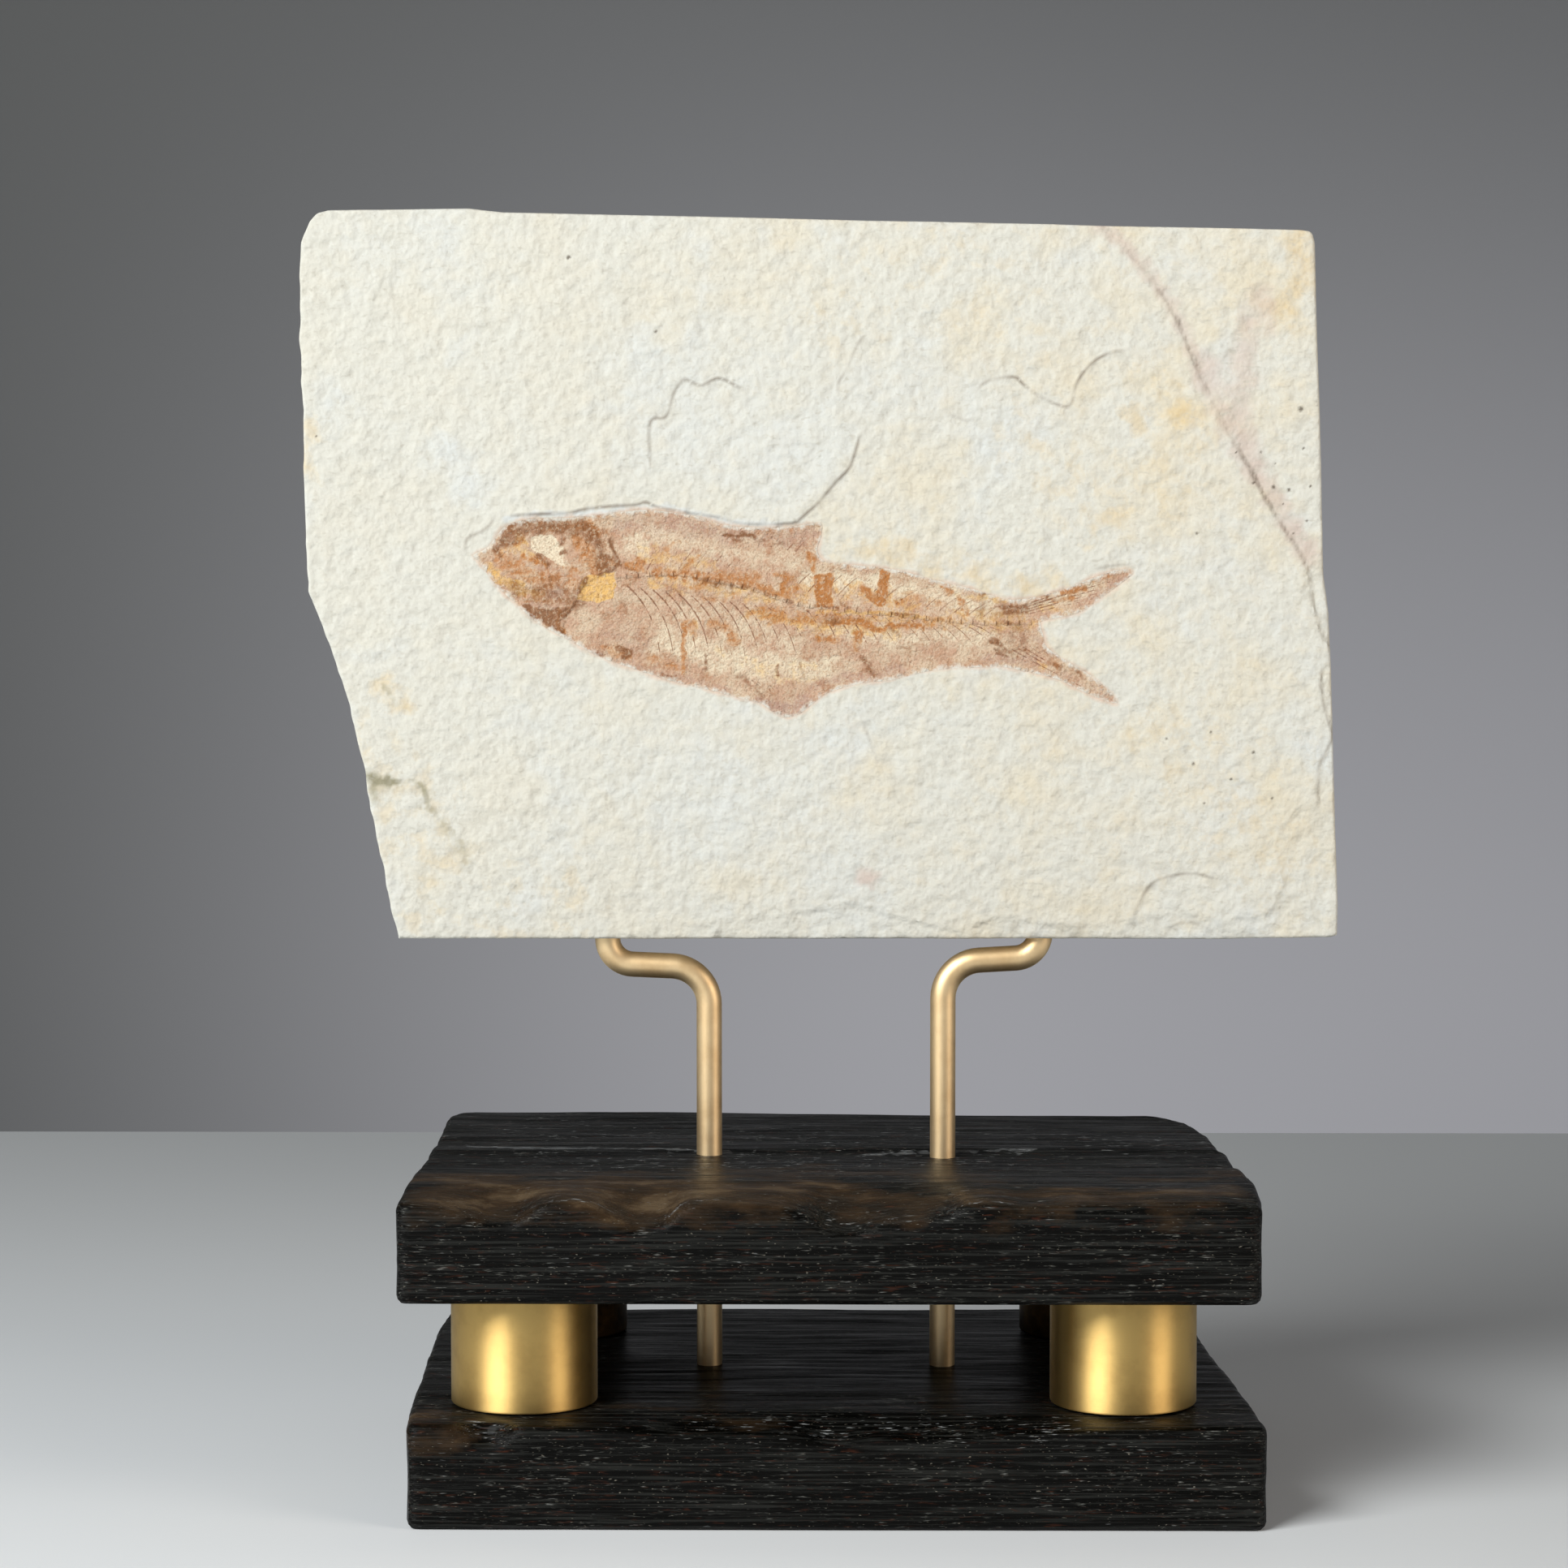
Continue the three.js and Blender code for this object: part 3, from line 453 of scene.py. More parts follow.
LOWER_SIDES = (
    ((-69.3, -50.4), (-68.6, -50.8), (-67.6, -51), (71.8, -51), (72.9, -50.8), (73.5, -50.3)),
    ((73.5, -50.3), (73.9, -49.6), (74, -48.4), (72.6, -24), (70.8, 3), (69.8, 22), (68.8, 44), (66.5, 50),
     (63, 51)),
    ((-67.5, 51), (63, 51)),
    ((-69.3, -50.4), (-69.6, -49.7), (-69.8, -48.6), (-70.6, -30), (-71.2, 0), (-71.8, 30), (-71.2, 48.5),
     (-67.5, 51)),
)
UPPER_RUBS = (
    # worn back to brown behind the hollows
    *strokes(
        Tone.RUB, rows=(
            (20, 0.95, (-62, -38), (-46, -40), (-34, -42), (-24, -40)),
            (9, 0.6, (-66, -30), (-50, -24), (-34, -22)), (17, 0.8, (-14, -42), (0, -38), (12, -42)),
            (15, 0.5, (-20, -24), (6, -22), (26, -26)), (12, 0.75, (28, -44), (46, -45), (66, -42)),
            (9, 0.6, (54, -30), (68, -26), (71, -18)), (7, 0.3, (-66, 6), (-58, 8)),
        ),
    ),
    # pale dust in the pores, and painted highlights along the ridge and on the rims of the worn hollows
    *strokes(
        Tone.FROST, rows=(
            (2.4, 1, (-64, 5.5), (-48, 4), (-30, 3.5), (-17, 1.5)),
            (2.2, 0.9, (8, 1.5), (22, 3), (38, 4.5)), (16, 0.5, (-40, -14), (-20, -8), (0, -12), (30, -6)),
            (14, 0.5, (20, 24), (44, 22), (60, 12)), (20, 0.42, (-60, 30), (-30, 26), (0, 20)),
            (0.8, 0.95, (-51, -48.9), (-45, -49.2), (-40, -49.2), (-35, -48.9)),
            (1.2, 0.95, (-29, -48.4), (-26, -48), (-22, -48.6), (-17, -49.2)),
            (1.5, 0.9, (0, -46.4), (5, -47.4), (10, -48.6), (14, -49)),
            (1, 0.9, (20, -48.6), (24, -49.2), (32, -49.2)), (14, 0.5, (-46, -5), (-20, -4), (2, -8)),
            (10, 0.5, (8, -6), (22, -5), (34, -8)),
        ),
    ),
)
LOWER_RUBS = (
    # worn back to brown at the corner and the front
    *strokes(
        Tone.RUB, rows=(
            (9, 0.7, (-67, -46), (-63, -50)), (9, 0.35, (-22, -44), (-8, -45)),
            (7, 0.3, (-40, -34), (-26, -38)),
        ),
    ),
    # painted highlights on the rims of the chips and dents along the front edge, and pale dust behind them
    *strokes(
        Tone.FROST, rows=(
            (1.8, 0.8, (-61, -47.4), (-56, -48), (-51, -48.6)), (1.4, 0.95, (-2, -48), (3, -48.8)),
            (1.2, 0.8, (34, -48.6), (39, -49)), (6, 0.55, (-20, -46), (8, -44), (40, -47)),
        ),
    ),
)


def smoothstep(low: float, high: float, value: Array) -> Array:
    """Runs smoothly from 0 at low to 1 at high.

    Args:
        low: The value at which the result leaves 0.
        high: The value at which it reaches 1.
        value: The values.

    Returns:
        The eased shares.
    """
    share = np.clip((value - low) / (high - low), 0, 1)
    return share * share * (3 - 2 * share)


def bell(offset: Array, half_width: float) -> Array:
    """A bell curve that is 1 at no offset."""
    return np.exp(-((offset / half_width) ** 2))


class Grain:
    """Seeded noise over a plane."""

    SIZE = 512

    def __init__(self, seed: int) -> None:
        """Draws the lattice.

        Args:
            seed: The seed, so that each run gives the same surface.
        """
        source = np.random.default_rng(seed)
        self._heights = source.uniform(-1, 1, (self.SIZE, self.SIZE))
        self._points = source.random((self.SIZE, self.SIZE, 2))

    def smooth(self, a: Array, b: Array, pitch: float, pitch_b: float | None = None) -> Array:
        """Rolling noise from -1 to 1.

        Args:
            a: First coordinates.
            b: Second coordinates.
            pitch: Distance between swells.
            pitch_b: The same along b, where it differs.

        Returns:
            The heights.
        """
        u, v = a / pitch, b / (pitch_b or pitch)
        i, j = np.floor(u).astype(int), np.floor(v).astype(int)
        s, t = u - i, v - j
        s, t = s * s * (3 - 2 * s), t * t * (3 - 2 * t)

        def height(di: int, dj: int) -> Array:
            """The lattice's value at one corner of each point's cell."""
            return self._heights[(i + di) % self.SIZE, (j + dj) % self.SIZE]

        low = height(0, 0) * (1 - s) + height(1, 0) * s
        high = height(0, 1) * (1 - s) + height(1, 1) * s
        return low * (1 - t) + high * t

    def cells(self, a: Array, b: Array, pitch: float) -> Array:
        """How far the nearest of a scatter of points is, in pitches.

        Args:
            a: First coordinates.
            b: Second coordinates.
            pitch: Mean distance between the points.

        Returns:
            The distances, from 0 to about 1.
        """
        u, v = a / pitch, b / pitch
        i, j = np.floor(u).astype(int), np.floor(v).astype(int)
        nearest = np.full(np.shape(u), 9.0)
        for di in (-1, 0, 1):
            for dj in (-1, 0, 1):
                spot = self._points[(i + di) % self.SIZE, (j + dj) % self.SIZE]
                reach = (i + di + spot[..., 0] - u) ** 2 + (j + dj + spot[..., 1] - v) ** 2
                nearest = np.minimum(nearest, reach)
        return np.sqrt(nearest)


@dataclass
class Beside:
    """How points lie beside a line: distance is positive on the left of its travel."""

    distance: Array
    share: Array
    a: Array
    b: Array


def beside(a: Array, b: Array, line: Line) -> Beside:
    """Measures points against a line.

    Args:
        a: First coordinates.
        b: Second coordinates.
        line: The line's points, or one point alone.

    Returns:
        For each point its distance, how far along the line it lies, and the nearest spot on it.
    """
    ends = np.asarray(line, float)
    if len(ends) == 1:
        away = np.hypot(a - ends[0, 0], b - ends[0, 1])
        return Beside(away, np.full(a.shape, 0.5), np.full(a.shape, ends[0, 0]), np.full(a.shape, ends[0, 1]))
    lengths = np.hypot(*np.diff(ends, axis=0).T)
    travelled = np.concatenate([[0], np.cumsum(lengths)])
    best = np.full(a.shape, np.inf)
    found = Beside(np.zeros(a.shape), np.zeros(a.shape), np.zeros(a.shape), np.zeros(a.shape))
    for k, length in enumerate(lengths):
        (a0, b0), (along_a, along_b) = ends[k], (ends[k + 1] - ends[k]) / length
        run = np.clip((a - a0) * along_a + (b - b0) * along_b, 0, length)
        spot_a, spot_b = a0 + run * along_a, b0 + run * along_b
        away = np.hypot(a - spot_a, b - spot_b)
        closer = away < best - 1e-9
        best = np.where(closer, away, best)
        left = along_a * (b - b0) - along_b * (a - a0) >= 0
        found.distance = np.where(closer, np.where(left, away, -away), found.distance)
        found.share = np.where(closer, (travelled[k] + run) / travelled[-1], found.share)
        found.a = np.where(closer, spot_a, found.a)
        found.b = np.where(closer, spot_b, found.b)
    return found


def curved(line: Line, steps: int, closed: bool = False) -> list[Point]:
    """Draws a smooth curve through points.

    Args:
        line: The points.
        steps: Spans between one point and the next.
        closed: Whether the last point runs on to the first.

    Returns:
        The curve's points.
    """
    ends = [np.asarray(p, float) for p in line]
    count = len(ends) if closed else len(ends) - 1
    drawn = []
    for k in range(count):
        places = [k + shift for shift in (-1, 0, 1, 2)]
        if closed:
            before, start, end, after = (ends[spot % len(ends)] for spot in places)
        else:
            before, start, end, after = (ends[min(max(spot, 0), len(ends) - 1)] for spot in places)
        for t in np.arange(steps) / steps:
            pull = (end - before) * t + (2 * before - 5 * start + 4 * end - after) * t**2
            spot = start + 0.5 * (pull + (3 * start - before - 3 * end + after) * t**3)
            drawn.append((float(spot[0]), float(spot[1])))
    if not closed:
        drawn.append((float(ends[-1][0]), float(ends[-1][1])))
    return drawn


class Outline:
    """A closed outline that tells how far inside it a point lies."""

    MARGIN = 4.0

    def __init__(self, points: Line) -> None:
        """Closes the outline.

        Args:
            points: Its points in order, the first not repeated.
        """
        self._points = [*points, points[0]]
        corners = np.asarray(points, float)
        self._low, self._high = corners.min(0) - self.MARGIN, corners.max(0) + self.MARGIN

    def inside(self, a: Array, b: Array) -> Beside:
        """Measures points against the outline.

        Args:
            a: First coordinates.
            b: Second coordinates.

        Returns:
            Distances that are positive inside, with the nearest spots; far points get the margin.
        """
        shape = np.shape(a)
        a, b = np.ravel(a), np.ravel(b)
        close = (a > self._low[0]) & (a < self._high[0]) & (b > self._low[1]) & (b < self._high[1])
        ca, cb = a[close], b[close]
        near = beside(ca, cb, self._points)
        within = np.zeros(ca.shape, bool)
        for (a0, b0), (a1, b1) in zip(self._points, self._points[1:]):
            if b0 != b1:
                spans = (b0 > cb) != (b1 > cb)
                within ^= spans & (ca < a0 + (cb - b0) * (a1 - a0) / (b1 - b0))
        result = Beside(np.full(a.shape, -self.MARGIN), np.zeros(a.shape), a.copy(), b.copy())
        result.distance[close] = np.where(within, 1, -1) * np.abs(near.distance)
        result.share[close] = near.share
        result.a[close] = near.a
        result.b[close] = near.b
        return Beside(*(part.reshape(shape) for part in (result.distance, result.share, result.a, result.b)))


def painted(a: Array, b: Array, marks: Sequence[Mark], grain: Grain) -> dict[Tone, Array]:
    """Works out how strongly each tone shows at each point.

    Args:
        a: First coordinates.
        b: Second coordinates.
        marks: The markings.
        grain: The noise that makes their edges ragged.

    Returns:
        A strength from 0 to 1 for each tone that the marks have.
    """
    layers = {mark.tone: np.zeros(a.shape) for mark in marks}
    astray_a = 0.36 * grain.smooth(a, b + 11, 1.7) + 0.17 * grain.smooth(a + 5, b, 0.6)
    astray_b = 0.36 * grain.smooth(a + 31, b, 1.7) + 0.17 * grain.smooth(a, b + 23, 0.6)
    for mark in marks:
        corners = np.asarray(mark.line, float)
        low, high = corners.min(0) - mark.width - 1, corners.max(0) + mark.width + 1
        close = np.nonzero((a > low[0]) & (a < high[0]) & (b > low[1]) & (b < high[1]))[0]
        if mark.tone is Tone.SOOT:
            away = np.abs(beside(a[close], b[close], mark.line).distance)
            shown = 0.6 + 0.4 * mark.strength - away / mark.width
        else:
            ca, cb = a[close] + astray_a[close], b[close] + astray_b[close]
            if mark.closed:
                away = -Outline(mark.line).inside(ca, cb).distance + mark.width / 2
            else:
                away = np.abs(beside(ca, cb, mark.line).distance)
            ragged = away + 0.3 * mark.width * grain.smooth(ca, cb, 0.45 * mark.width + 0.3)
            shown = mark.strength * (1 - smoothstep(0.1 * mark.width, mark.width, ragged))
        layers[mark.tone][close] = np.maximum(layers[mark.tone][close], shown)
    return layers


@dataclass
class Shell:
    """A closed skin: points as [a, b, depth] in a piece's own frame, and its faces."""

    a: Array
    b: Array
    depth: Array
    faces: list[tuple[int, ...]]

    def mesh(self, name: str, place: Place) -> bpy.types.Mesh:
        """Makes the mesh.

        Args:
            name: Its name.
            place: Turns the shell's frame into x, y and z in millimetres.

        Returns:
            The mesh, smooth shaded, in metres.
        """
        made = bpy.data.meshes.new(name)
        made.from_pydata((place(self.a, self.b, self.depth) * MM).tolist(), [], self.faces)
        made.shade_smooth()
        made.set_sharp_from_angle(angle=math.radians(46))
        return made


def give(mesh: bpy.types.Mesh, name: str, values: Array) -> None:
    """Writes one number per vertex as an attribute that a material can read."""
    mesh.attributes.new(name, "FLOAT", "POINT").data.foreach_set("value", values.astype(np.float32))


def shown(name: str, mesh: bpy.types.Mesh, slot: Slot, *nodes: str) -> bpy.types.Object:
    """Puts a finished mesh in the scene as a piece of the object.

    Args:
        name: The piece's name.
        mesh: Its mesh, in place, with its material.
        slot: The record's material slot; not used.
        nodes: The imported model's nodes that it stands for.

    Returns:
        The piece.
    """
    made = bpy.data.objects.new(name, mesh)
    bpy.context.scene.collection.objects.link(made)
    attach(made, BODY)
    if nodes:
        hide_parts(*nodes)
    log.info("%s: %d faces", name, len(mesh.polygons))
    return made


class Side:
    """One side of a plate, which can be walked by its share of the way along."""

    def __init__(self, line: Line) -> None:
        """Measures the side.

        Args:
            line: Its points.
        """
        self._ends = np.asarray(line, float)
        lengths = np.hypot(*np.diff(self._ends, axis=0).T)
        self._travelled = np.concatenate([[0], np.cumsum(lengths)])
        self.length = float(self._travelled[-1])

    def at(self, share: Array) -> Array:
        """The points at these shares of its length."""
        way = np.asarray(share) * self.length
        return np.stack([np.interp(way, self._travelled, self._ends[:, k]) for k in (0, 1)], -1)

    def roughened(self, grain: Grain, height: float, pitch: float, row: float) -> "Side":
        """Gives the side an uneven edge between its two ends.

        Args:
            grain: The noise.
            height: How far the edge wanders.
            pitch: Distance between swells.
            row: Where in the noise the edge is read.

        Returns:
            The uneven side.
        """
        way = np.linspace(0, self.length, int(self.length / 0.4) + 1)
        points = self.at(way / self.length)
        run = np.gradient(points, axis=0)
        across = np.stack([-run[:, 1], run[:, 0]], -1) / np.hypot(*run.T)[:, None]
        wander = 0.65 * grain.smooth(way, way * 0 + row, pitch)
        wander += 0.35 * grain.smooth(way, way * 0 - row, pitch / 3)
        settle = smoothstep(0, pitch, np.minimum(way, self.length - way))
        return Side(points + across * (height * wander * settle)[:, None])


@dataclass
class Plate:
    """A closed plate whose face is a fine lattice stretched between four sides.

    Lower and upper sides run to the right, left and right sides run upwards. Columns and rows are
    multiples of three, because the back's lattice is three times as coarse.
    """

    lower: Side
    right: Side
    upper: Side
    left: Side
    columns: int
    rows: int
    thickness: float
    rounding: float
    wall_rings: int
    edge_steps: int = 3

    def _shares(self, count: int, length: float) -> Array:
        """Shares along a side: fine steps over the rounded edges, even ones between them."""
        turn = np.linspace(0, math.pi / 2, self.edge_steps + 1)
        rim = self.rounding * (1 - np.cos(turn)) / length
        middle = np.linspace(rim[-1], 1 - rim[-1], count - 2 * self.edge_steps + 1)
        return np.concatenate([rim[:-1], middle, 1 - rim[-2::-1]])

    def _stretched(self, u: Array, v: Array) -> Array:
        """The lattice's points for shares across and shares up, blended from all four sides."""
        low, high, left, right = self.lower.at(u), self.upper.at(u), self.left.at(v), self.right.at(v)
        su, sv = u[None, :, None], v[:, None, None]
        rows = (1 - sv) * low[None] + sv * high[None]
        columns = (1 - su) * left[:, None] + su * right[:, None]
        corners = (
            (1 - su) * (1 - sv) * low[0] + su * (1 - sv) * low[-1]
            + (1 - su) * sv * high[0] + su * sv * high[-1]
        )
        return rows + columns - corners

    def face(self) -> tuple[Array, Array, Array]:
        """Lays out the face.

        Returns:
            First and second coordinates, and how far the rounded edges fall away, as flat arrays.
        """
        width, height = self.lower.length, self.left.length
        u, v = self._shares(self.columns, width), self._shares(self.rows, height)
        points = self._stretched(u, v)
        short_u = np.maximum(0, self.rounding - np.minimum(u, 1 - u) * width)[None, :]
        short_v = np.maximum(0, self.rounding - np.minimum(v, 1 - v) * height)[:, None]
        reach = np.minimum(self.rounding, np.hypot(short_u, short_v))
        fall = self.rounding - np.sqrt(np.maximum(0, self.rounding**2 - reach**2))
        return points[..., 0].ravel(), points[..., 1].ravel(), fall.ravel()

    @staticmethod
    def _border(columns: int, rows: int) -> Array:
        """A lattice's border, anticlockwise from its first corner."""
        grid = np.arange((columns + 1) * (rows + 1)).reshape(rows + 1, columns + 1)
        return np.concatenate([grid[0, :-1], grid[:-1, -1], grid[-1, :0:-1], grid[:0:-1, 0]])

    @staticmethod
    def _quads(columns: int, rows: int, first: int, turned: bool) -> list[tuple[int, ...]]:
        """A lattice's faces, from its first vertex, turned over if asked for."""
        grid = first + np.arange((columns + 1) * (rows + 1)).reshape(rows + 1, columns + 1)
        corners = [grid[:-1, :-1], grid[:-1, 1:], grid[1:, 1:], grid[1:, :-1]]
        if turned:
            corners.reverse()
        return [tuple(quad) for quad in np.stack([c.ravel() for c in corners], -1).tolist()]

    def shell(self, a: Array, b: Array, depth: Array, wall: Callable[[Array, Array, Array], Array]) -> Shell:
        """Closes the plate behind its face.

        Args:
            a: The face's first coordinates.
            b: Its second coordinates.
            depth: How deep the face lies at each vertex.
            wall: Gives how far the walls are pushed in, from coordinates and depth.

        Returns:
            The closed shell.
        """
        loop = self._border(self.columns, self.rows)
        size = len(loop)
        ring_a, ring_b = a[loop], b[loop]
        run_a, run_b = np.roll(ring_a, -1) - np.roll(ring_a, 1), np.roll(ring_b, -1) - np.roll(ring_b, 1)
        out_a, out_b = run_b / np.hypot(run_a, run_b), -run_a / np.hypot(run_a, run_b)
        parts = [(a, b, depth)]
        rings = [loop]
        count = len(a)
        turns = [math.radians(30 * k) for k in (1, 2)]
        for k in range(1, self.wall_rings + 1 + len(turns)):
            share = min(1.0, k / self.wall_rings)
            level = depth[loop] * (1 - share) + (self.thickness - self.rounding) * share
            push = wall(ring_a, ring_b, level) * math.sin(math.pi * share)
            if k > self.wall_rings:
                turn = turns[k - self.wall_rings - 1]
                level = level + self.rounding * math.sin(turn)
                push = push + self.rounding * (1 - math.cos(turn))
            parts.append((ring_a - out_a * push, ring_b - out_b * push, level))
            rings.append(np.arange(count, count + size))
            count += size
        columns, rows = self.columns // 3, self.rows // 3
        inset_u, inset_v = self.rounding / self.lower.length, self.rounding / self.left.length
        across = np.linspace(inset_u, 1 - inset_u, columns + 1)
        upward = np.linspace(inset_v, 1 - inset_v, rows + 1)
        back = self._stretched(across, upward)
        back_a, back_b = back[..., 0].ravel(), back[..., 1].ravel()
        edge = self._border(columns, rows)
        back_a[edge] = (ring_a - out_a * self.rounding)[::3]
        back_b[edge] = (ring_b - out_b * self.rounding)[::3]
        back_depth = np.full(back_a.shape, self.thickness)
        parts.append((back_a, back_b, back_depth))
        faces = self._quads(self.columns, self.rows, 0, False)
        for upper, lower in zip(rings, rings[1:]):
            strip = np.stack([np.roll(upper, -1), upper, lower, np.roll(lower, -1)], -1)
            faces += [tuple(quad) for quad in strip.tolist()]
        coarse = count + edge
        fine = rings[-1]
        for k in range(len(coarse)):
            q0, q1, q2 = (int(fine[3 * k + shift]) for shift in (0, 1, 2))
            q3 = int(fine[(3 * k + 3) % size])
            r0, r1 = int(coarse[k]), int(coarse[(k + 1) % len(coarse)])
            faces += [(q1, q0, r0), (q2, q1, r0), (q2, r0, r1), (q3, q2, r1)]
        faces += self._quads(columns, rows, count, True)
        return Shell(*(np.concatenate(values) for values in zip(*parts)), faces)


def snapped(a: Array, b: Array, free: Array, lines: Sequence[Line], cell: float) -> tuple[Array, Array]:
    """Moves a lattice's nearest vertices on to lines, so that steps along them are crisp.

    Args:
        a: First coordinates.
        b: Second coordinates.
        free: Which vertices may move.
        lines: The lines, the most important one first.
        cell: The lattice's spacing.

    Returns:
        The new coordinates.
    """
    a, b, free = a.copy(), b.copy(), free.copy()
    for line in lines:
        corners = np.asarray(line, float)
        low, high = corners.min(0) - cell, corners.max(0) + cell
        close = np.nonzero(free & (a > low[0]) & (a < high[0]) & (b > low[1]) & (b < high[1]))[0]
        near = beside(a[close], b[close], line)
        moved = np.abs(near.distance) < 0.5 * cell
        if len(line) == 1:
            moved = near.distance <= near.distance.min(initial=cell)
        chosen = close[moved]
        a[chosen], b[chosen] = near.a[moved], near.b[moved]
        free[chosen] = False
    return a, b


@dataclass
class Slab:
    """The slab of limestone, split along its bedding and scraped down to the fish."""

    thickness: float = 10.0
    foot: float = 94.5
    columns: int = 330
    rows: int = 231
    rounding: float = 0.55
    wall_rings: int = 6
    level: float = 0.38
    pocket: float = 1.8
    on_line: float = 0.08
    crack_reach: float = 0.5
    grain: Grain = field(default_factory=lambda: Grain(11))
    fish: Outline = field(default_factory=lambda: Outline(curved(FISH_OUTLINE, 3, True)))

    def place(self, a: Array, b: Array, depth: Array) -> Array:
        """Stands the face frame up: x across, depth along y, height above the table."""
        return np.stack([a, depth - self.thickness / 2, b + self.foot], -1)

    def bedding(self, a: Array, b: Array) -> Array:
        """The slow waves of the face, as depth."""
        swell = 0.13 * self.grain.smooth(a, b, 24) + 0.08 * self.grain.smooth(a + 40, b, 8.5)
        return self.level + swell

    def scraping(self, a: Array, b: Array) -> Array:
        """The pebbled skin that the scraper left, as depth."""
        lumps = 0.11 * self.grain.smooth(a, b + 70, 2.3, 1.7) + 0.07 * self.grain.smooth(a + 9, b, 1.25, 1.0)
        dents = 0.09 * smoothstep(0.42, 0.12, self.grain.cells(a, b, 3.1))
        return lumps + dents

    def _ledge(self, a: Array, b: Array) -> Array:
        """The sunk corner: deepest along the ledge, with its fold, rising to the far edge."""
        beyond = beside(a, b, LEDGE_LINE).distance
        fold = beside(a, b, curved(FOLD_LINE, 3))
        right_of_fold = smoothstep(0.1, 2.6, -fold.distance) * np.where(fold.distance > 0, 0, 1)
        risen = right_of_fold * bell(b - 98, 17) * smoothstep(60, 74, a)
        deep = 0.3 + 0.28 * smoothstep(118, 96, b) - 0.24 * bell(b - 92, 7)
        floor = deep * (1 - 0.55 * smoothstep(0, 24, beyond)) - 0.22 * risen
        return np.where(beyond > self.on_line, floor, 0)

    def _chips(self, a: Array, b: Array) -> Array:
        """The flaked right and lower edges."""
        lost = beside(a, b, CHIP_LINE).distance
        broken = 0.24 + 0.22 * smoothstep(0.2, 3.5, lost) + 0.16 * self.grain.smooth(a, b, 3.2)
        return np.where(lost > self.on_line, broken, 0)

    def _flakes(self, a: Array, b: Array) -> tuple[Array, Array, Array]:
        """The small flakes: their depth, the signed distance to the nearest line, and the darkness of its
        painted shadow line.
        """
        depth, nearest, ink = np.zeros(a.shape), np.full(a.shape, 9.0), np.zeros(a.shape)
        for flake in FLAKES:
            near = beside(a, b, curved(flake.line, 3))
            length = Side(flake.line).length
            ends = smoothstep(0, 2.2, np.minimum(near.share, 1 - near.share) * length)
            side = np.sign(flake.drop) * near.distance
            fall = np.where(side > self.on_line, 0.75 * abs(flake.drop) * np.exp(-side / 3.5), 0)
            depth += fall * ends
            closer = np.abs(near.distance) < np.abs(nearest)
            nearest = np.where(closer, near.distance, nearest)
            broken = 0.72 + 0.5 * self.grain.smooth(near.a, near.b, 2.4)
            ink = np.where(closer, flake.ink * ends * np.clip(broken, 0.15, 1), ink)
        return depth, np.clip(nearest, -3, 3), ink

    def stone(self, a: Array, b: Array) -> Array:
        """The face's depth away from the fish."""
        return self.bedding(a, b) + self.scraping(a, b)

    def build(self) -> bpy.types.Mesh:
        """Makes the slab with its markings as attributes.

        Returns:
            The mesh, without a material.
        """
        sawn, broken = 0.07, 0.32
        plate = Plate(
            Side(SLAB_LOWER).roughened(self.grain, sawn, 9, 3),
            Side(SLAB_RIGHT).roughened(self.grain, sawn, 12, 7),
            Side(SLAB_UPPER).roughened(self.grain, sawn, 14, 12),
            Side(SLAB_LEFT).roughened(self.grain, broken, 5, 17),
            self.columns, self.rows, self.thickness, self.rounding, self.wall_rings,
        )
        a, b, fall = plate.face()
        cell = plate.lower.length / self.columns
        lines = [curved((*FISH_OUTLINE, FISH_OUTLINE[0]), 3), LEDGE_LINE, CHIP_LINE]
        lines += [curved(flake.line, 3) for flake in FLAKES]
        lines += [mark.line for mark in STONE_MARKS if mark.tone is Tone.SOOT]
        a, b = snapped(a, b, fall == 0, lines, cell)
        flakes, crack, ink = self._flakes(a, b)
        depth = self.stone(a, b) + self._ledge(a, b) + self._chips(a, b) + flakes
        within = self.fish.inside(a, b).distance
        sunk = smoothstep(0.9, 1.5, within)
        depth = np.maximum(depth, 0.03) + 0.28 * smoothstep(0, 0.6, within)
        depth = depth * (1 - sunk) + self.pocket * sunk + fall

        def wall(wa: Array, wb: Array, level: Array) -> Array:
            """Saw marks, and the ragged layers of the broken left edge."""
            ragged = np.where(wa < -70, 0.55, 0.07)
            layers = self.grain.smooth(wb + 0.4 * wa, level, 4.5, 1.3)
            return ragged * (0.55 + 0.45 * layers + 0.3 * self.grain.smooth(wb, level + 40, 1.2, 0.6))

        shell = plate.shell(a, b, depth, wall)
        mesh = shell.mesh("fossil_slab", self.place)
        facing = smoothstep(0.65 * self.thickness, 0.3 * self.thickness, shell.depth)
        for tone, strength in painted(shell.a, shell.b, STONE_MARKS, self.grain).items():
            give(mesh, tone.value, strength * facing)
        spare = np.zeros(len(shell.a) - len(a))
        # a dark line painted along each flake edge: painted shadow of its small step
        give(mesh, "crack_width", np.concatenate([ink * (1 - np.abs(crack) / self.crack_reach), spare - 1]))
        # a dark line painted just on the sunk side of the ledge: painted shadow of its drop, darker in two
        # stretches
        beyond = beside(shell.a, shell.b, LEDGE_LINE).distance
        darkest = 0.16 + 0.5 * bell(shell.b - 106, 7) + 0.6 * bell(shell.b - 80, 9)
        give(mesh, "ledge_ink", darkest * (1 - np.abs(beyond - 0.2) / 0.8) * facing)
        away = np.clip(-self.fish.inside(shell.a, shell.b).distance, -1, 4)
        give(mesh, "near_fish", away * facing + 4 * (1 - facing))
        return mesh


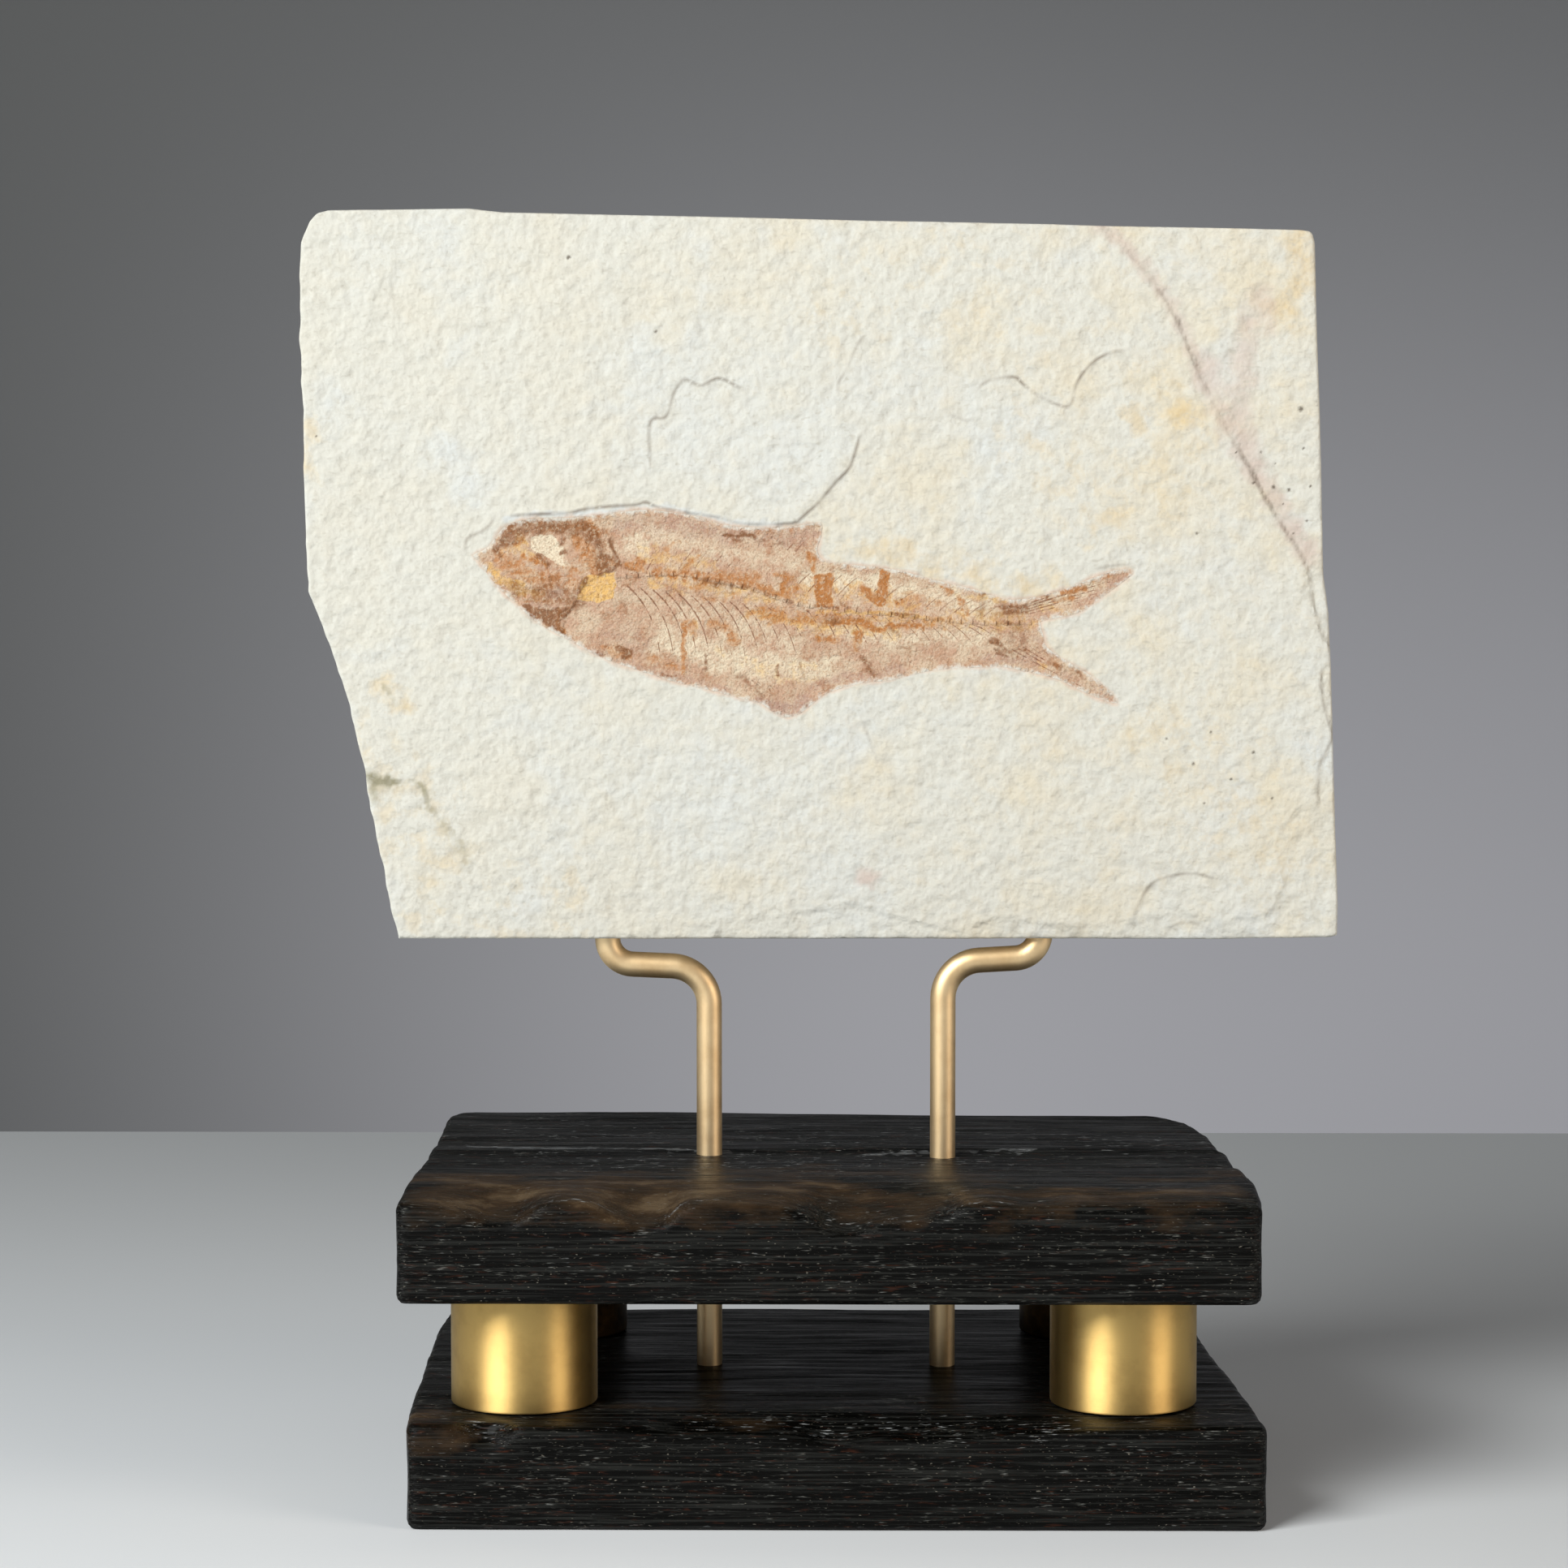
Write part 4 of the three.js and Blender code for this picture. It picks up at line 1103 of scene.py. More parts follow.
@dataclass
class Fish:
    """The fossil fish: a thin crust of skin, skull and scales in the slab's bed."""

    slab: Slab
    cell: float = 0.22
    back: float = 1.62
    grain: Grain = field(default_factory=lambda: Grain(23))

    def skin(self, a: Array, b: Array) -> Array:
        """How deep the fish's skin lies below the slab's nominal face.

        Args:
            a: Coordinates across.
            b: Heights above the slab's foot.

        Returns:
            The depths.
        """
        within = self.slab.fish.inside(a, b).distance
        rim = 0.1 * smoothstep(0.5, 2.2, within) - 0.16 * smoothstep(2.2, 8.5, within)
        skull = bell(np.hypot(a + 48.4, b - 64.5), 10.5)
        eye = bell(np.hypot((a + 48.3) / 1.25, b - 68.5), 2.9)
        gill = beside(a, b, curved(GILL_LINE, 3)).distance
        flap = 0.2 * smoothstep(0.05, 0.5, gill) * bell(np.minimum(gill, 9), 3.2)
        flap = flap * smoothstep(52.5, 55.5, b) * smoothstep(72.0, 69.5, b)
        backbone = bell(beside(a, b, SPINE_LINE).distance, 1.1)
        grit = 0.035 * self.grain.smooth(a, b, 0.8) + 0.03 * self.grain.smooth(a, b + 30, 0.45)
        scales = 0.03 * self.grain.smooth(a, b, 3.4, 1.6)
        depth = self.slab.bedding(a, b) + 0.05 + rim - 0.22 * skull + 0.22 * eye + flap - 0.08 * backbone
        depth += (grit + scales) * (0.9 + 0.9 * skull)
        flush = smoothstep(1.4, 0, within)
        return depth * (1 - flush) + (self.slab.stone(a, b) - 0.03) * flush

    def _kept(self, within: Array) -> Array:
        """Which cells of the lattice belong to the fish: one connected patch with no bare corners."""
        cells = (within[:-1, :-1] + within[1:, :-1] + within[:-1, 1:] + within[1:, 1:]) > 0
        for _ in range(2):
            low, high = cells[:-1, :-1] & cells[1:, 1:], cells[1:, :-1] & cells[:-1, 1:]
            cells[1:, :-1] |= low & ~cells[:-1, 1:]
            cells[:-1, :-1] |= high & ~cells[1:, 1:]
        rows, columns = cells.shape
        start = (rows // 2 + 6, columns // 3)
        reached = np.zeros(cells.shape, bool)
        reached[start] = True
        queue = deque([start])
        while queue:
            j, i = queue.popleft()
            for nj, ni in ((j + 1, i), (j - 1, i), (j, i + 1), (j, i - 1)):
                if 0 <= nj < rows and 0 <= ni < columns and cells[nj, ni] and not reached[nj, ni]:
                    reached[nj, ni] = True
                    queue.append((nj, ni))
        return reached

    def _edge_loop(self, quads: Array, count: int) -> list[int]:
        """The vertices round a patch of faces, in the faces' own turn."""
        start = np.concatenate([quads[:, k] for k in range(4)])
        end = np.concatenate([quads[:, (k + 1) % 4] for k in range(4)])
        single = ~np.isin(start * count + end, end * count + start)
        following = dict(zip(start[single].tolist(), end[single].tolist()))
        loop = [next(iter(following))]
        while following[loop[-1]] != loop[0]:
            loop.append(following[loop[-1]])
        return loop

    def build(self) -> bpy.types.Mesh:
        """Makes the crust, closed by a skirt and a flat back, with its markings as attributes.

        Returns:
            The mesh, without a material.
        """
        corners = np.asarray(FISH_OUTLINE, float)
        low, high = corners.min(0) - 1, corners.max(0) + 1
        steps = [np.arange(first, last, self.cell) for first, last in zip(low, high)]
        grid_a, grid_b = np.meshgrid(*steps)
        near = self.slab.fish.inside(grid_a, grid_b)
        kept = self._kept(near.distance)
        index = np.arange(grid_a.size).reshape(grid_a.shape)
        picked = [index[:-1, :-1][kept], index[:-1, 1:][kept], index[1:, 1:][kept], index[1:, :-1][kept]]
        used, compact = np.unique(np.stack(picked, -1), return_inverse=True)
        quads = compact.reshape(-1, 4)
        a, b = grid_a.ravel()[used], grid_b.ravel()[used]
        loop = self._edge_loop(quads, len(used))
        a[loop], b[loop] = near.a.ravel()[used][loop], near.b.ravel()[used][loop]
        marks = painted(a, b, FISH_MARKS, self.grain)
        crust = 0.05 * marks[Tone.UMBER] + 0.04 * marks[Tone.RUST] - 0.07 * marks[Tone.BARE]
        depth = self.skin(a, b) - crust
        below = list(range(len(a), len(a) + len(loop)))
        faces = [tuple(quad) for quad in quads.tolist()]
        for k, vertex in enumerate(loop):
            onward = (k + 1) % len(loop)
            faces.append((loop[onward], vertex, below[k], below[onward]))
        faces.append(tuple(reversed(below)))
        shell = Shell(
            np.concatenate([a, a[loop]]),
            np.concatenate([b, b[loop]]),
            np.concatenate([depth, np.full(len(loop), self.back)]),
            faces,
        )
        mesh = shell.mesh("fossil_fish", self.slab.place)
        self.mark(mesh, shell.a, shell.b, np.zeros(len(shell.a)))
        return mesh

    def mark(self, mesh: bpy.types.Mesh, a: Array, b: Array, bone: Array) -> None:
        """Writes the fish's markings on a mesh.

        Args:
            mesh: The mesh.
            a: Its vertices' coordinates across.
            b: Their heights above the slab's foot.
            bone: How bony each vertex looks.
        """
        for tone, strength in painted(a, b, FISH_MARKS, self.grain).items():
            give(mesh, tone.value, strength)
        give(mesh, Tone.BONE.value, bone)
        give(mesh, "rim", np.clip(self.slab.fish.inside(a, b).distance, -1, 4))


def add(tree: Tree, kind: str, inputs: Mapping | None = None, **settings: object) -> bpy.types.Node:
    """Adds a node with its settings, values and links.

    Args:
        tree: The node tree.
        kind: The node's type.
        inputs: For each input, by name or number, a value or the socket to link from.
        settings: The node's own properties.

    Returns:
        The node.
    """
    node = tree.nodes.new(kind)
    for name, value in settings.items():
        setattr(node, name, value)
    for key, value in (inputs or {}).items():
        if isinstance(value, bpy.types.NodeSocket):
            tree.links.new(value, node.inputs[key])
        else:
            node.inputs[key].default_value = value
    return node


class Growth:
    """A Geometry Nodes tree with named inputs, and the way to run it."""

    def __init__(self, name: str, inputs: Mapping[str, str]) -> None:
        """Starts the tree.

        Args:
            name: The tree's name.
            inputs: The socket type of each named input, after the geometry.
        """
        self.tree = bpy.data.node_groups.new(name, "GeometryNodeTree")
        self.tree.interface.new_socket("Geometry", in_out="INPUT", socket_type="NodeSocketGeometry")
        self.tree.interface.new_socket("Geometry", in_out="OUTPUT", socket_type="NodeSocketGeometry")
        for label, kind in {**inputs, "Material": "NodeSocketMaterial"}.items():
            self.tree.interface.new_socket(label, in_out="INPUT", socket_type=kind)
        self.given = add(self.tree, "NodeGroupInput").outputs

    def end(self, geometry: bpy.types.NodeSocket) -> None:
        """Ends the tree: instances become real, smooth shaded and get the material."""
        real = add(self.tree, "GeometryNodeRealizeInstances", {"Geometry": geometry})
        smooth = add(self.tree, "GeometryNodeSetShadeSmooth", {"Geometry": real.outputs[0]})
        clad = add(
            self.tree, "GeometryNodeSetMaterial",
            {"Geometry": smooth.outputs[0], "Material": self.given["Material"]},
        )
        add(self.tree, "NodeGroupOutput", {0: clad.outputs[0]})

    def run(self, base: bpy.types.Mesh, material: bpy.types.Material, **values: object) -> bpy.types.Mesh:
        """Runs the tree on a mesh.

        Args:
            base: The mesh that it starts from.
            material: The material of the result.
            values: A value for each named input, with underscores for spaces.

        Returns:
            The result as a plain mesh.
        """
        holder = bpy.data.objects.new(self.tree.name, base)
        bpy.context.scene.collection.objects.link(holder)
        modifier = holder.modifiers.new("growth", "NODES")
        modifier.node_group = self.tree
        wanted = {**{name.replace("_", " "): value for name, value in values.items()}, "Material": material}
        for item in self.tree.interface.items_tree:
            if item.in_out == "INPUT" and item.name in wanted:
                modifier[item.identifier] = wanted[item.name]
        evaluated = holder.evaluated_get(bpy.context.evaluated_depsgraph_get())
        result = bpy.data.meshes.new_from_object(evaluated)
        holder.modifiers.clear()
        bpy.data.objects.remove(holder)
        return result


def bone_row_growth() -> Growth:
    """Builds the tree for a row of tapering, slightly bent bones.

    Returns:
        The tree: bones stand on a line from Start to End, each reaching out by a vector that
        changes from First Reach to Last Reach.
    """
    growth = Growth("bone_row", {
        "Count": "NodeSocketInt", "Start": "NodeSocketVector", "End": "NodeSocketVector",
        "First Reach": "NodeSocketVector", "Last Reach": "NodeSocketVector", "Bend": "NodeSocketFloat",
        "Radius": "NodeSocketFloat", "Jitter": "NodeSocketFloat", "Seed": "NodeSocketInt",
    })
    tree, given = growth.tree, growth.given
    line = add(
        tree, "GeometryNodeMeshLine",
        {"Count": given["Count"], "Start Location": given["Start"], "Offset": given["End"]},
        mode="END_POINTS",
    )
    index = add(tree, "GeometryNodeInputIndex")
    last = add(tree, "ShaderNodeMath", {0: given["Count"], 1: 1.0}, operation="SUBTRACT")
    share = add(tree, "ShaderNodeMath", {0: index.outputs[0], 1: last.outputs[0]}, operation="DIVIDE")
    reach = add(
        tree, "ShaderNodeMix", {0: share.outputs[0], 4: given["First Reach"], 5: given["Last Reach"]},
        data_type="VECTOR",
    )
    least, most = (
        add(tree, "ShaderNodeVectorMath", {0: (way, 0.0, way), "Scale": given["Jitter"]}, operation="SCALE")
        for way in (-1.0, 1.0)
    )
    stray = add(
        tree, "FunctionNodeRandomValue",
        {0: least.outputs[0], 1: most.outputs[0], "Seed": given["Seed"]}, data_type="FLOAT_VECTOR",
    )
    strayed = add(tree, "ShaderNodeVectorMath", {0: reach.outputs[1], 1: stray.outputs[0]}, operation="ADD")
    length = add(tree, "ShaderNodeVectorMath", {0: strayed.outputs[0]}, operation="LENGTH")
    long_way = add(tree, "ShaderNodeCombineXYZ", {axis: length.outputs[1] for axis in range(3)})
    middle = add(tree, "ShaderNodeCombineXYZ", {0: 0.45, 2: given["Bend"]})
    arc = add(
        tree, "GeometryNodeCurveQuadraticBezier",
        {"Resolution": 8, "Start": (0.0, 0.0, 0.0), "Middle": middle.outputs[0], "End": (1.0, 0.0, 0.0)},
    )
    way = add(tree, "GeometryNodeSplineParameter")
    taper = add(
        tree, "ShaderNodeMapRange",
        {"Value": way.outputs["Factor"], "From Min": 0.0, "From Max": 1.0, "To Min": 1.0, "To Max": 0.3},
    )
    rod = add(tree, "GeometryNodeSetCurveRadius", {"Curve": arc.outputs[0], "Radius": taper.outputs[0]})
    section = add(tree, "GeometryNodeCurvePrimitiveCircle", {"Resolution": 6, "Radius": given["Radius"]})
    bone = add(
        tree, "GeometryNodeCurveToMesh",
        {
            "Curve": rod.outputs[0], "Profile Curve": section.outputs[0], "Scale": taper.outputs[0],
            "Fill Caps": True,
        },
    )
    turn = add(tree, "FunctionNodeAlignRotationToVector", {"Vector": strayed.outputs[0]}, axis="X")
    placed = add(
        tree, "GeometryNodeInstanceOnPoints",
        {
            "Points": line.outputs[0], "Instance": bone.outputs[0], "Rotation": turn.outputs[0],
            "Scale": long_way.outputs[0],
        },
    )
    growth.end(placed.outputs[0])
    return growth


def vertebra_growth() -> Growth:
    """Builds the tree for a chain of spool-shaped vertebrae along a line.

    Returns:
        The tree: Count spools of Length and Radius, narrowed to Waist, follow the mesh's edges.
    """
    growth = Growth("vertebrae", {
        "Count": "NodeSocketInt", "Length": "NodeSocketFloat", "Radius": "NodeSocketFloat",
        "Waist": "NodeSocketFloat",
    })
    tree, given = growth.tree, growth.given
    line = add(tree, "GeometryNodeMeshToCurve", {"Mesh": given["Geometry"]})
    values = {"Curve": line.outputs[0], "Count": given["Count"]}
    spots = add(tree, "GeometryNodeCurveToPoints", values, mode="COUNT")
    half = add(tree, "ShaderNodeMath", {0: given["Length"], 1: 0.5}, operation="MULTIPLY")
    cone = add(
        tree, "GeometryNodeMeshCone",
        {
            "Vertices": 10, "Side Segments": 2, "Radius Top": given["Radius"],
            "Radius Bottom": given["Waist"], "Depth": half.outputs[0],
        },
        fill_type="TRIANGLE_FAN",
    )
    flipped = add(
        tree, "GeometryNodeTransform", {"Geometry": cone.outputs[0], "Rotation": (0.0, math.pi, 0.0)},
    )
    spool = add(tree, "GeometryNodeJoinGeometry")
    for part in (cone.outputs[0], flipped.outputs[0]):
        tree.links.new(part, spool.inputs[0])
    placed = add(
        tree, "GeometryNodeInstanceOnPoints",
        {
            "Points": spots.outputs["Points"], "Instance": spool.outputs[0],
            "Rotation": spots.outputs["Rotation"],
        },
    )
    growth.end(placed.outputs[0])
    return growth


def bent_rod_growth() -> Growth:
    """Builds the tree for a round rod bent along a line of straight runs.

    Returns:
        The tree: the mesh's edges become the rod's middle line, its corners rounded by the vertex
        attribute "bend", and a round section of Radius with Sides is swept along it.
    """
    growth = Growth("bent_rod", {
        "Radius": "NodeSocketFloat", "Sides": "NodeSocketInt", "Bend Steps": "NodeSocketInt",
    })
    tree, given = growth.tree, growth.given
    line = add(tree, "GeometryNodeMeshToCurve", {"Mesh": given["Geometry"]})
    bend = add(tree, "GeometryNodeInputNamedAttribute", {"Name": "bend"}, data_type="FLOAT")
    rounded = add(
        tree, "GeometryNodeFilletCurve",
        {"Curve": line.outputs[0], "Count": given["Bend Steps"], "Radius": bend.outputs[0]}, mode="POLY",
    )
    section = add(
        tree, "GeometryNodeCurvePrimitiveCircle", {"Resolution": given["Sides"], "Radius": given["Radius"]},
    )
    swept = add(
        tree, "GeometryNodeCurveToMesh",
        {"Curve": rounded.outputs[0], "Profile Curve": section.outputs[0], "Fill Caps": True},
    )
    growth.end(swept.outputs[0])
    return growth


def polyline(name: str, points: Sequence[Sequence[float]]) -> bpy.types.Mesh:
    """Makes a mesh of edges through points given in millimetres."""
    made = bpy.data.meshes.new(name)
    edges = [(k, k + 1) for k in range(len(points) - 1)]
    made.from_pydata([[MM * value for value in point] for point in points], edges, [])
    return made


@dataclass(frozen=True)
class BoneRow:
    """A row of like bones: start and end of the row, the reach of its first and last bone, and its look."""

    count: int
    start: Point
    end: Point
    first_reach: Point
    last_reach: Point
    bend: float
    radius: float
    bone: float = 1.0
    jitter: float = 0.35


@dataclass
class Skeleton:
    """The bones that stand out of the fish's skin."""

    fish: Fish
    vertebrae: int = 36
    vertebra_radius: float = 0.55
    lift: float = -0.06
    rows: Sequence[BoneRow] = (
        # ribs, then finer bones between them
        BoneRow(15, (-34.5, 62.2), (-3, 57.4), (5.6, -11.4), (4.4, -8.4), 0.2, 0.19),
        BoneRow(14, (-33.5, 62.4), (-4, 57.8), (4.6, -6.2), (4.0, -5.0), 0.16, 0.13, 0.6),
        BoneRow(16, (-31, 65.6), (-7, 62.6), (5.2, 3.0), (4.2, 2.2), -0.1, 0.13, 0.6),
        # spines above and below the backbone
        BoneRow(24, (-31, 65.0), (28, 56.8), (3.4, 5.0), (3.8, 2.1), 0.08, 0.16, 0.8),
        BoneRow(15, (-3, 58.0), (29, 55.0), (3.8, -6.8), (4.2, -2.4), 0.1, 0.17, 0.9),
        # rays of the dorsal, pelvic and anal fins
        BoneRow(8, (-15, 70.0), (-5, 68.2), (2.8, 2.2), (3.6, 4.2), 0.0, 0.15, 0.8),
        BoneRow(5, (-12.6, 45.6), (-8.4, 44.4), (4.6, -4.4), (2.6, -3.8), 0.05, 0.15, 0.7),
        BoneRow(9, (11, 48.6), (27, 49.8), (3.4, -2.2), (3.6, -1.4), 0.0, 0.13, 0.7),
        # rays of the two tail lobes
        BoneRow(7, (33.8, 58.4), (35.4, 56.3), (19.2, 6.0), (8.6, 1.0), 0.02, 0.17, 0.8, 0.25),
        BoneRow(7, (35.4, 54.4), (32.8, 51.2), (8.0, -5.6), (17.6, -9.2), -0.02, 0.17, 0.8, 0.25),
        # rays of the breast fin
        BoneRow(4, (-41, 51.2), (-40, 50.2), (6.0, -0.4), (5.0, -1.0), 0.06, 0.15, 0.8),
    )

    def build(self, material: bpy.types.Material) -> bpy.types.Mesh:
        """Grows the bones flat and lays them on the fish.

        Args:
            material: The fossil's material.

        Returns:
            One mesh with all the bones.
        """
        foot = self.fish.slab.foot
        row_growth, chain_growth = bone_row_growth(), vertebra_growth()
        meshes = []
        for seed, row in enumerate(self.rows):
            start, end = ((p[0] * MM, 0.0, (p[1] + foot) * MM) for p in (row.start, row.end))
            first, last = ((p[0] * MM, 0.0, p[1] * MM) for p in (row.first_reach, row.last_reach))
            mean = 0.5 * (math.hypot(*row.first_reach) + math.hypot(*row.last_reach))
            grown = row_growth.run(
                bpy.data.meshes.new("row"), material, Count=row.count, Start=start, End=end,
                First_Reach=first, Last_Reach=last, Bend=row.bend, Radius=row.radius / mean,
                Jitter=row.jitter * MM, Seed=seed,
            )
            meshes.append((grown, row.bone))
        line = curved(SPINE_LINE, 4)
        spine = polyline("spine", [(x, 0.0, z + foot) for x, z in line])
        length = Side(line).length / self.vertebrae
        chain = chain_growth.run(
            spine, material, Count=self.vertebrae, Length=0.94 * length * MM,
            Radius=self.vertebra_radius * MM, Waist=0.62 * self.vertebra_radius * MM,
        )
        meshes.append((chain, 0.25))
        points, faces, bony = [], [], []
        count = 0
        for mesh, bone in meshes:
            flat = np.empty(3 * len(mesh.vertices), np.float32)
            mesh.vertices.foreach_get("co", flat)
            points.append(flat.reshape(-1, 3) / MM)
            faces += [tuple(count + v for v in face.vertices) for face in mesh.polygons]
            bony.append(np.full(len(mesh.vertices), bone))
            count += len(mesh.vertices)
        x, out, z = np.concatenate(points).T
        a, b = x, z - foot
        within = self.fish.slab.fish.inside(a, b).distance
        sink = 0.5 * smoothstep(0.7, 0.0, within)
        depth = self.fish.skin(a, b) + 0.5 * out - self.lift + sink
        shell = Shell(a, b, depth, faces)
        joined = shell.mesh("fish_skeleton", self.fish.slab.place)
        self.fish.mark(joined, a, b, np.concatenate(bony))
        joined.materials.append(material)
        return joined


@dataclass(frozen=True)
class Rod:
    """A bent brass rod: where it stands, where its tip goes into the slab, and the heights of its run."""

    name: str
    x: float
    tip_x: float
    run_from: float
    run_to: float
    radius: float = 2.25
    foot: float = 10.5
    tip: float = 105.5
    lower_bend: float = 6.8
    upper_bend: float = 4.6

    def build(self, growth: Growth, material: bpy.types.Material) -> bpy.types.Mesh:
        """Sweeps the rod along its line.

        Args:
            growth: The bent rod's tree.
            material: The brass.

        Returns:
            The mesh.
        """
        line = polyline(self.name, [
            (self.x, 0, self.foot), (self.x, 0, self.run_from),
            (self.tip_x, 0, self.run_to), (self.tip_x, 0, self.tip),
        ])
        give(line, "bend", np.array([0, self.lower_bend, self.upper_bend, 0]) * MM)
        return growth.run(line, material, Radius=self.radius * MM, Sides=40, Bend_Steps=12)


@dataclass(frozen=True)
class Spacer:
    """A turned brass cylinder between the blocks."""

    name: str
    x: float
    y: float
    finish: BrassFinish = BrassFinish.TURNED
    foot: float = 18.0
    height: float = 20.0
    radius: float = 12.5
    edge: float = 0.45
    sides: int = 120
    edge_steps: int = 4

    def build(self, material: bpy.types.Material) -> bpy.types.Mesh:
        """Turns the cylinder from its profile.

        Args:
            material: The brass.

        Returns:
            The closed mesh, with its flat ends.
        """
        turn = np.linspace(0, math.pi / 2, self.edge_steps + 1)
        inset = self.edge * (1 - np.sin(turn))
        rise = self.edge * (1 - np.cos(turn))
        middle = np.linspace(self.edge, self.height - self.edge, 6)[1:-1]
        levels = np.concatenate([rise, middle, self.height - rise[::-1]])
        radii = self.radius - np.concatenate([inset, np.zeros(4), inset[::-1]])
        angle = 2 * math.pi * np.arange(self.sides) / self.sides
        points, faces = [], []
        for level, radius in zip(levels, radii):
            x, y = self.x + radius * np.cos(angle), self.y + radius * np.sin(angle)
            points.append(np.stack([x, y, angle * 0 + self.foot + level], -1))
        for k in range(len(levels) - 1):
            for i in range(self.sides):
                onward = (i + 1) % self.sides
                low, high = k * self.sides, (k + 1) * self.sides
                faces.append((low + i, low + onward, high + onward, high + i))
        top = (len(levels) - 1) * self.sides
        faces.append(tuple(reversed(range(self.sides))))
        faces.append(tuple(range(top, top + self.sides)))
        made = bpy.data.meshes.new(self.name)
        made.from_pydata((np.concatenate(points) * MM).tolist(), [], faces)
        made.shade_smooth()
        for end in made.polygons[-2:]:
            end.use_smooth = False
        made.materials.append(material)
        return made


@dataclass
class Block:
    """A black wooden block with worn, rounded edges."""

    name: str
    sides: tuple[Line, Line, Line, Line]
    foot: float
    rubs: Sequence[Mark]
    seed: int
    thickness: float = 18.0
    rounding: float = 1.5
    columns: int = 204
    rows: int = 138
    wall_rings: int = 12
    front: float = -51.0

    def __post_init__(self) -> None:
        """Makes the block's own noise."""
        self.grain = Grain(self.seed)

    def place(self, a: Array, b: Array, depth: Array) -> Array:
        """Lays the plan flat: depth runs down from the top."""
        return np.stack([a, b, self.foot + self.thickness - depth], -1)

    def worn(self, a: Array, b: Array) -> Array:
        """How far the top is worn down; each block has its own form."""
        raise NotImplementedError

    def fibres(self, a: Array, b: Array) -> Array:
        """Fine ridges of the grain along the block, as depth."""
        ridges = 0.08 * self.grain.smooth(a, b, 26, 1.6) + 0.05 * self.grain.smooth(a, b + 50, 9, 0.8)
        return ridges + 0.14 * self.grain.smooth(a, b, 34, 6)

    def build(self) -> bpy.types.Mesh:
        """Makes the block with its rubbed places, pale dust and painted highlights as attributes.

        Returns:
            The mesh, without a material.
        """
        lower, right, upper, left = self.sides
        rough, pitch = 0.22, 7
        plate = Plate(
            Side(lower).roughened(self.grain, 0.12, 14, 5),
            Side(right).roughened(self.grain, rough, pitch, 11),
            Side(upper).roughened(self.grain, rough, pitch, 15),
            Side(left).roughened(self.grain, rough, pitch, 21),
            self.columns, self.rows, self.thickness, self.rounding, self.wall_rings, 5,
        )
        a, b, fall = plate.face()
        depth = np.maximum(self.worn(a, b) + self.fibres(a, b), 0.03) + fall

        def wall(wa: Array, wb: Array, level: Array) -> Array:
            """Grain ridges round the sides."""
            along = 0.5 + 0.5 * self.grain.smooth(wa + 2 * wb, level, 24, 1.5)
            return 0.05 + 0.12 * along + 0.08 * self.grain.smooth(wa + 2 * wb, level + 90, 60, 6)

        shell = plate.shell(a, b, depth, wall)
        mesh = shell.mesh(self.name, self.place)
        on_top = smoothstep(7.5, 2.5, shell.depth)
        for tone, strength in painted(shell.a, shell.b, self.rubs, self.grain).items():
            give(mesh, tone.value, strength * on_top)
        return mesh


class UpperBlock(Block):
    """The upper block: its front edge is worn into hollows, and its top has a low ridge."""

    def worn(self, a: Array, b: Array) -> Array:
        """How far the top is worn down.

        Args:
            a: Coordinates across.
            b: Coordinates from front to back.

        Returns:
            The depths.
        """
        xs, zs = np.array(curved(WORN_EDGE, 6)).T
        edge = self.foot + self.thickness - np.interp(a, xs, zs)
        from_front = b - self.front
        reach = 0.8 * smoothstep(17, 0, from_front) + 0.2 * smoothstep(30, 0, from_front)
        lip = 0.7 * np.exp(-from_front / 1.6)
        ridge = 3.5 + 2 * self.grain.smooth(a, a * 0 + 3, 46)
        step = 0.5 * smoothstep(-0.5, 3.5, ridge - b) * smoothstep(-34, -4, b)
        swell = 0.16 * (0.5 + 0.5 * np.sin(0.07 * a + 0.11 * b))
        return 0.02 + edge * reach + lip + step + swell + 0.1 * smoothstep(-60, 60, a)


class LowerBlock(Block):
    """The lower block: flatter, with a worn front edge, a chipped corner and seats for the spacers."""

    def worn(self, a: Array, b: Array) -> Array:
        """How far the top is worn down.

        Args:
            a: Coordinates across.
            b: Coordinates from front to back.

        Returns:
            The depths.
        """
        from_front = b - self.front
        sag = 1.9 * bell(a - 8, 40) * smoothstep(14, 0, from_front)
        chip = 3.0 * smoothstep(1.0, 0.25, np.hypot((a + 56.5) / 6.5, (b + 51.5) / 4.6))
        dents = 0.9 * bell(np.hypot((a - 2) / 1.6, b + 49), 3.0)
        dents += 0.7 * bell(np.hypot((a + 22) / 2.2, b + 49), 3.2)
        lip = 0.35 * np.exp(-from_front / 1.6)
        depth = sag + chip + dents + lip + 0.16 + 0.12 * np.sin(0.09 * a + 0.13 * b)
        for spacer in SPACERS:
            seat = smoothstep(spacer.radius + 1.4, spacer.radius + 0.2, np.hypot(a - spacer.x, b - spacer.y))
            depth = depth * (1 - seat) + 0.25 * seat
        return depth


RODS = (Rod("rod_left", -20.3, -38.3, 88.9, 89.7), Rod("rod_right", 21.2, 38.4, 89.9, 90.9))
SPACERS = (
    Spacer("spacer_front_left", -51.2, -31.3), Spacer("spacer_front_right", 51.2, -31.3),
    # the rear spacers are darkened as painted shade for the gap between the blocks
    Spacer("spacer_rear_left", -49, 31.3, BrassFinish.TARNISHED),
    Spacer("spacer_rear_right", 49, 31.3, BrassFinish.TARNISHED),
)

MIX_FACTOR, MIX_A, MIX_B, MIX_COLOUR = 0, 6, 7, 2


